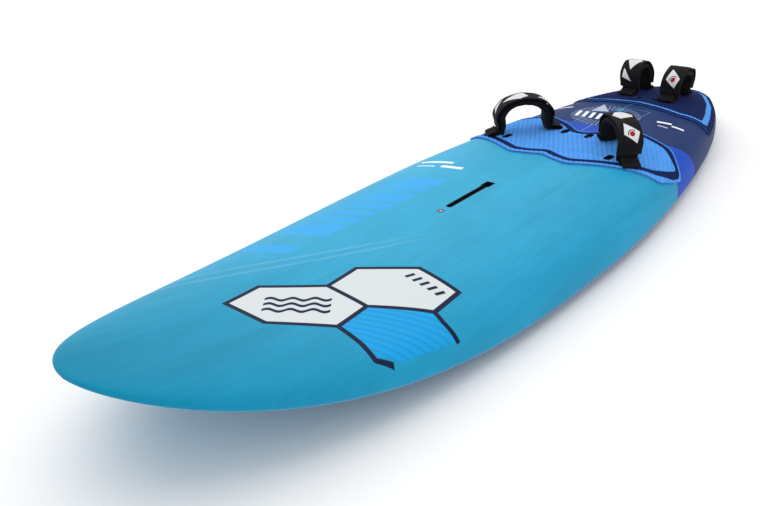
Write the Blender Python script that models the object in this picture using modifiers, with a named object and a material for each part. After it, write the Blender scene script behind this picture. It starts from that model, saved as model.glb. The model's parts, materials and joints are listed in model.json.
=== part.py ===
"""A windsurf board: foam core, deck and bottom shells, mast track, vent, fin box, pads and four foot straps.

Metres. +X points to the nose, +Y to port, +Z up. The origin is at mid-length, under the lowest point.
"""

import math

import bmesh
import bpy
from mathutils import Matrix, Vector

# ---------------------------------------------------------------------------- hull
LENGTH = 2.35
WIDTH = 0.663
THICKNESS = 0.142
WIDE_POINT = 0.047  # station of the greatest width
NOSE_POWER, NOSE_ROUND = 2.77, 0.507  # plan outline forward of the wide point
TAIL_POWER, TAIL_ROUND = 1.565, 0.533  # plan outline aft of it
NOSE_ROCKER, NOSE_ROCKER_POWER = 0.202, 2.98
TAIL_ROCKER, TAIL_ROCKER_POWER = 0.0104, 3.0
NOSE_THINNING, NOSE_THINNING_POWER = 0.904, 2.2
TAIL_THINNING, TAIL_THINNING_POWER = 0.577, 5.0
ROUNDED_WIDTH = 0.12  # half width under which the ends close off
RAIL_HEIGHT = 0.203  # height of the rail's outer edge, as a share of the thickness
SECTION_WIDE_POWER, SECTION_HIGH_POWER = 1 / 0.275, 0.375

STATIONS = 28
HALF_SECTION_STEPS = 6
SECTION_CROWDING = 1.4  # draws the section's points towards the rail
END_OVERSHOOT = 0.0002  # the last stations stop this far from the tips

SKIN = 0.003
GAP = 0.0003  # between pieces that touch
TIP_SOLID = 0.010  # shell left solid at nose and tail
CUT_PAST = 0.02  # how far a cutter reaches past the surface it opens

# ---------------------------------------------------------------------------- deck fittings
SLOT_FRONT, SLOT_REAR, SLOT_WIDTH = 0.237, 0.066, 0.0095
KEYHOLE_LENGTH, KEYHOLE_WIDTH = 0.026, 0.018
T_CHANNEL_TOP, T_CHANNEL_FLOOR, T_CHANNEL_WIDTH = 0.012, 0.022, 0.020
CHANNEL_END = 0.002  # how far a channel runs past the ends of its slot
TRACK_WALL, TRACK_WIDTH, TRACK_DEPTH = 0.007, 0.036, 0.036
TRACK_BLOCK_WALL, TRACK_BLOCK_WIDTH, TRACK_BLOCK_DEPTH = 0.010, 0.090, 0.046
DECK_CUT_MARGIN = 0.0005

VENT_X = 0.265
VENT_FLANGE_RADIUS, VENT_FLANGE, VENT_PROUD = 0.0078, 0.0016, 0.0004
VENT_BODY_RADIUS, VENT_BORE_RADIUS, VENT_LENGTH = 0.0064, 0.0034, 0.016
VENT_SEAT_RADIUS, VENT_SEAT_DEPTH = 0.0055, 0.0030
WASHER_RADIUS, WASHER_HOLE_RADIUS, WASHER_TOP, WASHER_BOTTOM = 0.0052, 0.0029, -0.0006, -0.0027
VENT_SCREW_RADIUS, VENT_SCREW_HEAD_RADIUS, VENT_SCREW_LENGTH = 0.0026, 0.0038, 0.0128
VENT_SCREW_TOP, VENT_SCREW_HEAD_BOTTOM, VENT_SCREW_CHAMFER = 0.0010, -0.0003, 0.0007
VENT_DRIVE_LENGTH, VENT_DRIVE_WIDTH, VENT_DRIVE_DEPTH = 0.0058, 0.0010, 0.0008

INSERT_LENGTH, INSERT_WIDTH, INSERT_DEPTH = 0.041, 0.018, 0.026
INSERT_HOLE_RADIUS, INSERT_HOLE_DEPTH, INSERT_HOLE_PITCH = 0.0027, 0.020, 0.014
SCREW_SHANK_RADIUS, SCREW_SHANK_LENGTH = 0.0022, 0.019
SCREW_HEAD_RADIUS, SCREW_HEAD_HEIGHT, SCREW_HEAD_RIM = 0.0075, 0.003, 0.0008
SCREW_CROWN_RADIUS, SCREW_TIP = 0.0045, 0.002
SCREW_DRIVE_LENGTH, SCREW_DRIVE_WIDTH, SCREW_DRIVE_DEPTH = 0.009, 0.0012, 0.0012
SCREW_BED = 0.0008  # how far the head beds into the webbing

# ---------------------------------------------------------------------------- fin box
FIN_BOX_X, FIN_BOX_LENGTH, FIN_BOX_WIDTH, FIN_BOX_DEPTH = -0.90, 0.270, 0.034, 0.032
FIN_SLOT_LENGTH, FIN_SLOT_WIDTH, FIN_SLOT_DEPTH = 0.250, 0.0096, 0.026
FIN_CHANNEL_BOTTOM, FIN_CHANNEL_TOP, FIN_CHANNEL_WIDTH = 0.008, 0.0135, 0.0156
FIN_ENTRY_REAR = -0.797  # rear edge of the plate's square way in
NUT_PLATE_SIDE, NUT_PLATE_THICKNESS, NUT_HOLE_RADIUS = 0.0146, 0.0040, 0.0022

# ---------------------------------------------------------------------------- pads
PAD_BASE, PAD_TOP = 0.003, 0.002  # thicknesses of the two layers of foam sheet
PAD_LIFT = 0.0006  # underside over the deck
TOP_LIFT = PAD_LIFT + PAD_BASE + GAP
PAD_SURFACE = TOP_LIFT + PAD_TOP
PAD_SHEET_MARGIN = 0.12  # how far the sheet reaches past its outline before it is cut
STRIPE = 0.0135  # groove between the field and the margin
MARGIN = 0.013
PAD_CUTOUT_MARGIN = 0.0005
PAD_SCREW_HOLE_RADIUS = 0.006
PAD_CUTTER_HEIGHTS = (0.0, 0.3)

# Port half of each pad's groove, along its middle, from the front at the centre line to the rear.
FRONT_PAD_LINE = [
    (-0.190, 0.0), (-0.172, 0.038), (-0.162, 0.080), (-0.196, 0.145), (-0.231, 0.210),
    (-0.266, 0.262), (-0.306, 0.288), (-0.357, 0.282), (-0.420, 0.228), (-0.430, 0.190),
    (-0.446, 0.138), (-0.402, 0.062), (-0.364, 0.018), (-0.362, 0.0),
]
REAR_PAD_LINE = [
    (-0.735, 0.0), (-0.718, 0.070), (-0.700, 0.138), (-0.733, 0.203), (-0.812, 0.182),
    (-0.916, 0.146), (-1.020, 0.088), (-1.050, 0.040), (-1.056, 0.0),
]

# ---------------------------------------------------------------------------- foot straps
# Where each strap's two legs stand on the port side: the outer or forward one, then the inner or aft one.
STRAP_LEGS = {
    "front": {"outer": (-0.250, 0.194), "inner": (-0.353, 0.092)},
    "rear": {"fore": (-0.806, 0.066), "aft": (-0.924, 0.060)},
}
SPARE_INSERTS = {
    "front_outer": (-0.238, 0.152), "front_inner": (-0.350, 0.036), "rear": (-0.788, 0.024),
}
STRAP_HEIGHT = 0.101  # of the loop's outside, over the pad
STRAP_LEG_HEIGHT = 0.046  # straight part of each leg
WEBBING_WIDTH, WEBBING = 0.047, 0.0025
LOOP_PAD_WIDTH, LOOP_PAD = 0.060, 0.016
COVER_WIDTH, COVER = 0.063, 0.003
COVER_LIFT = WEBBING / 2 + GAP + WEBBING + GAP  # webbing's middle to the cover, over the foot's tongue
WEBBING_START, LOOP_PAD_START, COVER_START = 0.014, 0.018, 0.024
FOOT_TONGUE_TOP, FOOT_LENGTH, FOOT_THICKNESS = 0.040, 0.031, 0.003
FOOT_SCREW_REACH = 0.016  # from the leg out to the screw
FOOT_HEEL, FOOT_TOE_DROP, FOOT_FILLET = 0.008, 0.006, 0.012
LEAN_AXIS_HEIGHT = 0.030  # of the line the loop leans about, over the pad
ARCH_STEPS = 12
SIDES = {"port": 1, "starboard": -1}

TURNED_STEPS = 16
SMALL_TURNED_STEPS = 12
TAU = 2 * math.pi


# ---------------------------------------------------------------------------- scene helpers
def clear_scene():
    for obj in list(bpy.data.objects):
        bpy.data.objects.remove(obj, do_unlink=True)


def new_collection(name):
    collection = bpy.data.collections.new(name)
    bpy.context.scene.collection.children.link(collection)
    return collection


def material(name, colour, roughness, metallic=0.0):
    made = bpy.data.materials.new(name)
    made.use_nodes = True
    shader = made.node_tree.nodes["Principled BSDF"]
    shader.inputs["Base Color"].default_value = (*colour, 1)
    shader.inputs["Roughness"].default_value = roughness
    shader.inputs["Metallic"].default_value = metallic
    return made


def finish_mesh(name, bm, collection, finish=None, smooth=False):
    """An object from a bmesh, with its faces turned outwards."""
    bmesh.ops.recalc_face_normals(bm, faces=bm.faces)
    mesh = bpy.data.meshes.new(name)
    bm.to_mesh(mesh)
    bm.free()
    obj = bpy.data.objects.new(name, mesh)
    collection.objects.link(obj)
    if finish:
        mesh.materials.append(finish)
    if smooth:
        mesh.shade_smooth()
        mesh.set_sharp_from_angle(angle=math.radians(40))
    return obj


def hide_cutter(obj):
    obj.hide_render = True
    obj.display_type = "WIRE"
    return obj


def boolean(obj, other, operation="DIFFERENCE"):
    modifier = obj.modifiers.new(operation.title(), "BOOLEAN")
    modifier.operation = operation
    modifier.object = other
    modifier.solver = "EXACT"


# ---------------------------------------------------------------------------- hull shape
def hull_at(x):
    """Half width, height of the bottom and thickness of the hull at a station."""
    forward = max(0.0, (x - WIDE_POINT) / (LENGTH / 2 - WIDE_POINT))
    aft = max(0.0, (WIDE_POINT - x) / (LENGTH / 2 + WIDE_POINT))
    nose = max(0.0, 1 - forward**NOSE_POWER) ** NOSE_ROUND
    tail = max(0.0, 1 - aft**TAIL_POWER) ** TAIL_ROUND
    half_width = WIDTH / 2 * nose * tail
    bottom = NOSE_ROCKER * forward**NOSE_ROCKER_POWER + TAIL_ROCKER * aft**TAIL_ROCKER_POWER
    thickness = (
        THICKNESS
        * (1 - NOSE_THINNING * forward**NOSE_THINNING_POWER)
        * (1 - TAIL_THINNING * aft**TAIL_THINNING_POWER)
    )
    rounding = math.sin(min(1.0, half_width / ROUNDED_WIDTH) * math.pi / 2) ** 0.5
    return half_width, bottom, thickness * rounding


def section_height(across):
    """Height over the rail's edge, as a share of that on the centre line, at a share of the half width."""
    return (1 - min(1.0, abs(across)) ** SECTION_WIDE_POWER) ** SECTION_HIGH_POWER


def deck_height(x, y):
    half_width, bottom, thickness = hull_at(x)
    rail = bottom + RAIL_HEIGHT * thickness
    return rail + (1 - RAIL_HEIGHT) * thickness * section_height(y / half_width)


def section_shares():
    """Shares of the half width at which a section has points, from the port rail to the starboard rail."""
    steps = range(HALF_SECTION_STEPS + 1)
    port = [math.cos(math.pi / 2 * (i / HALF_SECTION_STEPS) ** SECTION_CROWDING) for i in steps]
    return port + [-share for share in reversed(port[:-1])]


def half_section(x, inset, upper, seam=0.0):
    """Points across the deck, or across the bottom, of the hull made smaller all round by an inset.

    The deck is raised by the seam, so that the bottom's lowest point stays at zero.
    """
    half_width, bottom, thickness = hull_at(x)
    half_width -= inset
    bottom += inset
    thickness -= 2 * inset
    rail = bottom + RAIL_HEIGHT * thickness + (seam if upper else 0.0)
    rise = (1 - RAIL_HEIGHT) * thickness if upper else -RAIL_HEIGHT * thickness
    return [Vector((x, half_width * s, rail + rise * section_height(s))) for s in section_shares()]


def stations(end_margin):
    reach = LENGTH / 2 - end_margin
    return [-reach * math.cos(math.pi * i / STATIONS) for i in range(STATIONS + 1)]


# ---------------------------------------------------------------------------- lofts
def add_strip(bm, row, other):
    """Triangles between two rows. Diagonals start at the row's outer point, so nested lofts stay parallel."""
    for a, b, c, d in zip(row, row[1:], other[1:], other):
        if abs(a.co.y) > abs(b.co.y):
            bm.faces.new((a, b, c))
            bm.faces.new((a, c, d))
        else:
            bm.faces.new((a, b, d))
            bm.faces.new((b, c, d))


def ring_solid(name, rings, collection, finish=None, smooth=False):
    """A closed solid through rings of points, with a flat face at each end."""
    bm = bmesh.new()
    rows = [[bm.verts.new(point) for point in ring] for ring in rings]
    for row, other in zip(rows, rows[1:]):
        add_strip(bm, row + row[:1], other + other[:1])
    bm.faces.new(rows[0])
    bm.faces.new(rows[-1])
    return finish_mesh(name, bm, collection, finish, smooth)


def hull_solid(name, inset, end_margin, collection, finish=None):
    """The hull made smaller all round by an inset, and its two ends a gap shorter than the stations."""
    rings = []
    for x in stations(end_margin):
        upper = half_section(x, inset, True)
        lower = half_section(x, inset, False)
        rings.append(upper + lower[-2:0:-1])
    for ring, pull in ((rings[0], GAP), (rings[-1], -GAP)):
        for point in ring:
            point.x += pull
    return ring_solid(name, rings, collection, finish, smooth=True)


def hull_shell(name, upper, collection, finish):
    """The deck's or the bottom's laminate, open underneath or on top, and solid at nose and tail."""
    bm = bmesh.new()
    outside = [
        [bm.verts.new(p) for p in half_section(x, 0.0, upper, GAP)] for x in stations(END_OVERSHOOT)
    ]
    inside = [
        [bm.verts.new(p) for p in half_section(x, SKIN, upper, GAP)] for x in stations(TIP_SOLID)
    ]
    for rows in (outside, inside):
        for row, other in zip(rows, rows[1:]):
            add_strip(bm, row, other)
        bm.faces.new(rows[0])
        bm.faces.new(rows[-1])
    for rail in (0, -1):
        add_strip(bm, [row[rail] for row in outside], [row[rail] for row in inside])
    for end in (0, -1):
        bm.faces.new((outside[end][0], outside[end][-1], inside[end][-1], inside[end][0]))
    return finish_mesh(name, bm, collection, finish, smooth=True)


def deck_sheet(name, lift, thickness, front, rear, collection, finish):
    """A sheet that lies over the deck between two stations, clear of the rails."""
    near = [x for x in stations(END_OVERSHOOT) if rear - PAD_SHEET_MARGIN < x < front + PAD_SHEET_MARGIN]
    rings = []
    for x in near:
        below = half_section(x, -lift, True)[1:-1]
        above = half_section(x, -lift - thickness, True)[1:-1]
        rings.append(above + below[::-1])
    return ring_solid(name, rings, collection, finish)


# ---------------------------------------------------------------------------- outlines
def mirrored_outline(port_half):
    """A closed outline from its port half, which starts and ends on the centre line."""
    return port_half + [(x, -y) for x, y in port_half[-2:0:-1]]


def grown(outline, distance):
    """The outline moved outwards, or inwards where the distance is negative, with sharp corners."""
    area = sum(a[0] * b[1] - b[0] * a[1] for a, b in zip(outline, outline[1:] + outline[:1]))
    side = distance if area > 0 else -distance
    moved = []
    for i, (x, y) in enumerate(outline):
        before = Vector((x, y)) - Vector(outline[i - 1])
        after = Vector(outline[(i + 1) % len(outline)]) - Vector((x, y))
        normals = [Vector((d.y, -d.x)).normalized() for d in (before, after)]
        middle = (normals[0] + normals[1]).normalized()
        moved.append(tuple(Vector((x, y)) + middle * side / max(0.35, middle.dot(normals[0]))))
    return moved


def stadium(x, y, length, width, end_steps=4):
    """A slot's outline along X with round ends."""
    radius = width / 2
    reach = length / 2 - radius
    points = []
    for end, start in ((1, -math.pi / 2), (-1, math.pi / 2)):
        for i in range(end_steps + 1):
            turn = start + math.pi * i / end_steps
            points.append((x + end * reach + radius * math.cos(turn), y + radius * math.sin(turn)))
    return points


def slot_with_window(x, length, width, window_rear, window_length, window_width):
    """A slot on the centre line with round ends and a wider rectangular window somewhere along it."""
    window_front = window_rear + window_length
    points = stadium(x, 0, length, width)
    front = [point for point in points if point[0] > window_front]
    rear = [point for point in points if point[0] < window_rear]
    port = [(window_front, width / 2), (window_front, window_width / 2), (window_rear, window_width / 2)]
    if rear:
        port.append((window_rear, width / 2))
    return front + port + rear + [(a, -b) for a, b in reversed(port)]


def rectangle(x, y, length, width):
    return [(x + a * length / 2, y + b * width / 2) for a, b in ((-1, -1), (1, -1), (1, 1), (-1, 1))]


def circle(x, y, radius, steps=12):
    turns = [TAU * i / steps for i in range(steps)]
    return [(x + radius * math.cos(turn), y + radius * math.sin(turn)) for turn in turns]


def prism(name, outline, low, high, collection, finish=None, place=None):
    """A flat outline given a height: a filled 2D curve with extrusion, made a mesh."""
    curve = bpy.data.curves.new(name, "CURVE")
    curve.dimensions = "2D"
    curve.fill_mode = "BOTH"
    curve.extrude = (high - low) / 2
    spline = curve.splines.new("POLY")
    spline.points.add(len(outline) - 1)
    for point, (x, y) in zip(spline.points, outline):
        point.co = (x, y, 0, 1)
    spline.use_cyclic_u = True
    drawn = bpy.data.objects.new(name + "_outline", curve)
    collection.objects.link(drawn)
    drawn.matrix_world = (place or Matrix()) @ Matrix.Translation((0, 0, (low + high) / 2))
    bpy.context.view_layer.update()
    mesh = bpy.data.meshes.new_from_object(drawn.evaluated_get(bpy.context.evaluated_depsgraph_get()))
    bm = bmesh.new()
    bm.from_mesh(mesh)
    bmesh.ops.remove_doubles(bm, verts=bm.verts, dist=1e-6)
    bmesh.ops.recalc_face_normals(bm, faces=bm.faces)
    bm.to_mesh(mesh)
    bm.free()
    obj = bpy.data.objects.new(name, mesh)
    obj.matrix_world = drawn.matrix_world.copy()
    collection.objects.link(obj)
    bpy.data.objects.remove(drawn)
    mesh.materials.clear()
    if finish:
        mesh.materials.append(finish)
    return obj


def turned(name, profile, collection, finish, steps=TURNED_STEPS):
    """A turned piece about Z. The profile runs down its outer side, top to bottom, and back up the bore."""
    bm = bmesh.new()
    corners = [bm.verts.new((radius, 0, height)) for radius, height in profile]
    for a, b in zip(corners, corners[1:]):
        bm.edges.new((a, b))
    if profile[0][0] and profile[-1][0]:
        bm.edges.new((corners[-1], corners[0]))
    mesh = bpy.data.meshes.new(name)
    bm.to_mesh(mesh)
    bm.free()
    mesh.materials.append(finish)
    obj = bpy.data.objects.new(name, mesh)
    collection.objects.link(obj)
    screw = obj.modifiers.new("Turn", "SCREW")
    screw.steps = steps
    screw.render_steps = steps
    screw.use_merge_vertices = True
    screw.merge_threshold = 1e-5
    screw.use_smooth_shade = True
    return obj


def driving_slot(obj, length, width, depth, top, cutters):
    """A screwdriver slot across the top of a turned screw."""
    bar = prism(obj.name + "_drive", rectangle(0, 0, length, width), top - depth, top + depth, cutters)
    bar.matrix_world = obj.matrix_world @ bar.matrix_world
    boolean(obj, hide_cutter(bar))


# ---------------------------------------------------------------------------- hull pieces
def build_hull(parts, cutters, looks):
    core = hull_solid("foam_core", SKIN + GAP, TIP_SOLID, parts, looks["eps_foam"])
    deck = hull_shell("deck_shell", True, parts, looks["deck"])
    bottom = hull_shell("bottom_shell", False, parts, looks["bottom"])
    return core, deck, bottom


def sink_through(pieces, outline, low, high, name, cutters):
    """Cuts the same straight pocket into several pieces."""
    cutter = hide_cutter(prism(name, outline, low, high, cutters))
    for piece in pieces:
        boolean(piece, cutter)


def build_mast_track(core, deck, under_skin, parts, cutters, looks):
    middle = (SLOT_FRONT + SLOT_REAR) / 2
    top = deck_height(middle, 0)
    above = top + CUT_PAST
    length = SLOT_FRONT - SLOT_REAR
    box_length = length + 2 * TRACK_WALL
    block_length = box_length + 2 * TRACK_BLOCK_WALL

    box_outline = rectangle(middle, 0, box_length, TRACK_WIDTH)
    box = prism("mast_track_box", box_outline, top - TRACK_DEPTH, above, parts, looks["black_plastic"])
    boolean(box, under_skin, "INTERSECT")
    block_outline = rectangle(middle, 0, block_length, TRACK_BLOCK_WIDTH)
    block = prism("mast_track_block", block_outline, top - TRACK_BLOCK_DEPTH, above, parts, looks["pvc_foam"])
    boolean(block, under_skin, "INTERSECT")

    slot = slot_with_window(middle, length, SLOT_WIDTH, SLOT_REAR, KEYHOLE_LENGTH, KEYHOLE_WIDTH)
    channel = rectangle(middle, 0, length + 2 * CHANNEL_END, T_CHANNEL_WIDTH)
    slot_floor = top - (T_CHANNEL_TOP + T_CHANNEL_FLOOR) / 2
    sink_through([box], slot, slot_floor, above, "track_slot_cutter", cutters)
    sink_through([box], channel, top - T_CHANNEL_FLOOR, top - T_CHANNEL_TOP, "track_channel_cutter", cutters)
    sink_through([deck], grown(slot, DECK_CUT_MARGIN), top - T_CHANNEL_TOP, above, "deck_slot_cutter", cutters)
    box_pocket = grown(box_outline, GAP)
    block_pocket = grown(block_outline, GAP)
    sink_through([block], box_pocket, top - TRACK_DEPTH - GAP, above, "track_box_pocket", cutters)
    sink_through([core], block_pocket, top - TRACK_BLOCK_DEPTH - GAP, above, "track_block_pocket", cutters)


def build_vent(core, deck, parts, cutters, looks):
    """The pressure vent: a flanged insert, a soft washer and the slotted screw that closes it."""
    top = deck_height(VENT_X, 0)
    insert = turned(
        "vent_insert",
        [
            (VENT_FLANGE_RADIUS, VENT_PROUD), (VENT_FLANGE_RADIUS, -VENT_FLANGE), (VENT_BODY_RADIUS, -VENT_FLANGE),
            (VENT_BODY_RADIUS, -VENT_LENGTH), (VENT_BORE_RADIUS, -VENT_LENGTH),
            (VENT_BORE_RADIUS, -VENT_SEAT_DEPTH), (VENT_SEAT_RADIUS, -VENT_SEAT_DEPTH),
            (VENT_SEAT_RADIUS, VENT_PROUD),
        ],
        parts, looks["vent_plastic"],
    )
    washer = turned(
        "vent_washer",
        [
            (WASHER_RADIUS, WASHER_TOP), (WASHER_RADIUS, WASHER_BOTTOM), (WASHER_HOLE_RADIUS, WASHER_BOTTOM),
            (WASHER_HOLE_RADIUS, WASHER_TOP),
        ],
        parts, looks["white_plastic"],
    )
    chamfer = VENT_SCREW_CHAMFER
    screw = turned(
        "vent_screw",
        [
            (0.0, VENT_SCREW_TOP), (VENT_SCREW_HEAD_RADIUS - chamfer, VENT_SCREW_TOP),
            (VENT_SCREW_HEAD_RADIUS, VENT_SCREW_TOP - chamfer), (VENT_SCREW_HEAD_RADIUS, VENT_SCREW_HEAD_BOTTOM),
            (VENT_SCREW_RADIUS, VENT_SCREW_HEAD_BOTTOM), (VENT_SCREW_RADIUS, chamfer - VENT_SCREW_LENGTH),
            (VENT_SCREW_RADIUS - chamfer, -VENT_SCREW_LENGTH), (0.0, -VENT_SCREW_LENGTH),
        ],
        parts, looks["brass"],
    )
    for piece in (insert, washer, screw):
        piece.location = (VENT_X, 0, top)
    bpy.context.view_layer.update()
    driving_slot(screw, VENT_DRIVE_LENGTH, VENT_DRIVE_WIDTH, VENT_DRIVE_DEPTH, VENT_SCREW_TOP, cutters)
    flange_hole = circle(VENT_X, 0, VENT_FLANGE_RADIUS + GAP, TURNED_STEPS)
    sink_through([deck], flange_hole, top - 2 * SKIN, top + CUT_PAST, "vent_deck_cutter", cutters)
    sink_through([core], flange_hole, top - VENT_LENGTH - GAP, top + CUT_PAST, "vent_core_cutter", cutters)


def build_fin_box(core, bottom, above_skin, parts, cutters, looks):
    """The slotted fin box in the bottom, open underneath, with the square nut plate in its channel."""
    _, floor, _ = hull_at(FIN_BOX_X)
    below = floor - CUT_PAST
    box_outline = rectangle(FIN_BOX_X, 0, FIN_BOX_LENGTH, FIN_BOX_WIDTH)
    box = prism("fin_box", box_outline, below, floor + FIN_BOX_DEPTH, parts, looks["black_plastic"])
    boolean(box, above_skin, "INTERSECT")
    upper_slot = stadium(FIN_BOX_X, 0, FIN_SLOT_LENGTH, FIN_SLOT_WIDTH)
    mouth = slot_with_window(
        FIN_BOX_X, FIN_SLOT_LENGTH, FIN_SLOT_WIDTH, FIN_ENTRY_REAR, FIN_CHANNEL_WIDTH, FIN_CHANNEL_WIDTH
    )
    channel = rectangle(FIN_BOX_X, 0, FIN_SLOT_LENGTH + 2 * CHANNEL_END, FIN_CHANNEL_WIDTH + CHANNEL_END)
    third = (FIN_CHANNEL_TOP - FIN_CHANNEL_BOTTOM) / 3
    sink_through([box], mouth, below, floor + FIN_CHANNEL_BOTTOM + third, "fin_mouth_cutter", cutters)
    sink_through([box], channel, floor + FIN_CHANNEL_BOTTOM, floor + FIN_CHANNEL_TOP, "fin_channel_cutter",
                 cutters)
    sink_through([box], upper_slot, floor + FIN_CHANNEL_TOP - third, floor + FIN_SLOT_DEPTH, "fin_slot_cutter",
                 cutters)
    sink_through([bottom], grown(mouth, DECK_CUT_MARGIN), below, floor + FIN_CHANNEL_BOTTOM,
                 "bottom_mouth_cutter", cutters)
    pocket = grown(box_outline, GAP)
    sink_through([core], pocket, below, floor + FIN_BOX_DEPTH + GAP, "fin_box_pocket", cutters)

    plate_outline = rectangle(0, 0, NUT_PLATE_SIDE, NUT_PLATE_SIDE)
    place = Matrix.Translation((FIN_BOX_X, 0, floor + FIN_CHANNEL_BOTTOM + GAP))
    plate = prism("fin_nut_plate", plate_outline, 0.0, NUT_PLATE_THICKNESS, parts, looks["steel"], place)
    sink_through([plate], circle(FIN_BOX_X, 0, NUT_HOLE_RADIUS), below, floor + CUT_PAST, "nut_hole_cutter",
                 cutters)


# ---------------------------------------------------------------------------- pads
def cut_to_outline(sheet, outline, cutters, operation="INTERSECT"):
    cutter = hide_cutter(prism(f"{sheet.name}_{operation.lower()}", outline, *PAD_CUTTER_HEIGHTS, cutters))
    boolean(sheet, cutter, operation)


def build_pad(name, port_line, base_look, top_look, holes, parts, cutters, looks):
    """Two layers of foam sheet: the base shows in the groove between the top layer's field and margin."""
    line = mirrored_outline(port_line)
    front = max(x for x, _ in line)
    rear = min(x for x, _ in line)
    edge = grown(line, STRIPE / 2 + MARGIN)
    base = deck_sheet(f"{name}_base", PAD_LIFT, PAD_BASE, front, rear, parts, looks[base_look])
    field = deck_sheet(f"{name}_field", TOP_LIFT, PAD_TOP, front, rear, parts, looks[top_look])
    margin = deck_sheet(f"{name}_margin", TOP_LIFT, PAD_TOP, front, rear, parts, looks[top_look])
    cut_to_outline(base, edge, cutters)
    cut_to_outline(field, grown(line, -STRIPE / 2), cutters)
    cut_to_outline(margin, edge, cutters)
    cut_to_outline(margin, grown(line, STRIPE / 2), cutters, "DIFFERENCE")
    for number, outline in enumerate(holes):
        sink_through([base, field], outline, *PAD_CUTTER_HEIGHTS, f"{name}_hole_{number}", cutters)


# ---------------------------------------------------------------------------- inserts
def build_insert(name, x, y, core, deck, flush, parts, cutters, looks):
    """A plastic plug with three screw holes in a row, set in the deck flush with it."""
    top = deck_height(x, y)
    outline = stadium(x, y, INSERT_LENGTH, INSERT_WIDTH, 3)
    plug = prism(name, outline, top - INSERT_DEPTH, top + CUT_PAST, parts, looks["black_plastic"])
    boolean(plug, flush, "INTERSECT")
    for step in (-1, 0, 1):
        hole = circle(x + step * INSERT_HOLE_PITCH, y, INSERT_HOLE_RADIUS, 8)
        sink_through([plug], hole, top - INSERT_HOLE_DEPTH, top + CUT_PAST, f"{name}_hole_{step + 1}", cutters)
    pocket = grown(outline, GAP)
    sink_through([core, deck], pocket, top - INSERT_DEPTH - GAP, top + CUT_PAST, f"{name}_pocket", cutters)


# ---------------------------------------------------------------------------- foot straps
def strap_frame(legs, side):
    """The strap's frame: X from the first leg to the second, Z up, origin mid-span on the pad."""
    feet = [Vector((x, side * y, deck_height(x, side * y) + PAD_SURFACE)) for x, y in legs]
    along = (feet[1] - feet[0]).normalized()
    across = Vector((0, 0, 1)).cross(along).normalized()
    up = along.cross(across)
    frame = Matrix((along, across, up)).transposed().to_4x4()
    frame.translation = (feet[0] + feet[1]) / 2
    return frame, (feet[1] - feet[0]).length / 2


def upright(frame):
    """The frame turned so that an outline drawn in X and Y stands up along its span."""
    return frame @ Matrix.Rotation(math.pi / 2, 4, "X")


def arch_line(half_span, start, offset):
    """Points up one leg, over and down the other, moved outwards by an offset from the webbing's middle."""
    reach = half_span + offset
    rise = STRAP_HEIGHT - COVER_LIFT - COVER - STRAP_LEG_HEIGHT + offset
    turns = [math.pi * i / ARCH_STEPS for i in range(ARCH_STEPS + 1)]
    arc = [(reach * math.cos(turn), STRAP_LEG_HEIGHT + rise * math.sin(turn)) for turn in turns]
    return [(reach, start), *arc, (-reach, start)]


def band(name, frame, half_span, start, inner, outer, width, parts, finish):
    """A band of cloth or foam in the shape of the arch, between two offsets."""
    outline = arch_line(half_span, start, outer) + arch_line(half_span, start, inner)[::-1]
    return prism(name, outline, -width / 2, width / 2, parts, finish, upright(frame))


def build_strap(prefix, frame, half_span, parts, looks):
    """The loop: webbing, foam pad inside it and cover outside it, all on the axis it leans about."""
    axis = bpy.data.objects.new(f"{prefix}_lean_axis", None)
    parts.objects.link(axis)
    axis.matrix_world = frame @ Matrix.Translation((0, 0, LEAN_AXIS_HEIGHT))
    half_web = WEBBING / 2
    pad_face = -half_web - GAP
    layers = (
        ("webbing", WEBBING_START, -half_web, half_web, WEBBING_WIDTH, looks["webbing"]),
        ("pad", LOOP_PAD_START, pad_face - LOOP_PAD, pad_face, LOOP_PAD_WIDTH, looks["neoprene"]),
        ("cover", COVER_START, COVER_LIFT, COVER_LIFT + COVER, COVER_WIDTH, looks["neoprene"]),
    )
    for layer, start, inner, outer, width, finish in layers:
        piece = band(f"{prefix}_strap_{layer}", frame, half_span, start, inner, outer, width, parts, finish)
        piece.parent = axis
        piece.matrix_parent_inverse = axis.matrix_world.inverted()


def build_foot(name, frame, half_span, end, pad_surface, parts, looks):
    """A folded webbing foot: a tongue up the outside of the leg, and a tab that the screw holds down."""
    inner = half_span + WEBBING / 2 + GAP
    outer = inner + WEBBING
    tab = []
    for reach in (inner + FOOT_LENGTH, outer + FOOT_FILLET, outer + WEBBING):
        spot = frame @ Vector((end * reach, 0, 0))
        surface = deck_height(spot.x, spot.y) + PAD_SURFACE
        tab.append((reach, surface - spot.z + FOOT_THICKNESS))
    toe = (inner + FOOT_LENGTH, tab[0][1] - FOOT_THICKNESS - FOOT_TOE_DROP)
    heel = (outer, tab[-1][1] + WEBBING)
    outline = [(inner, -FOOT_HEEL), toe, *tab, heel, (outer, FOOT_TONGUE_TOP), (inner, FOOT_TONGUE_TOP)]
    outline = [(end * x, y) for x, y in outline]
    foot = prism(name, outline, -WEBBING_WIDTH / 2, WEBBING_WIDTH / 2, parts, looks["webbing"], upright(frame))
    boolean(foot, pad_surface)
    return foot


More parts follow.
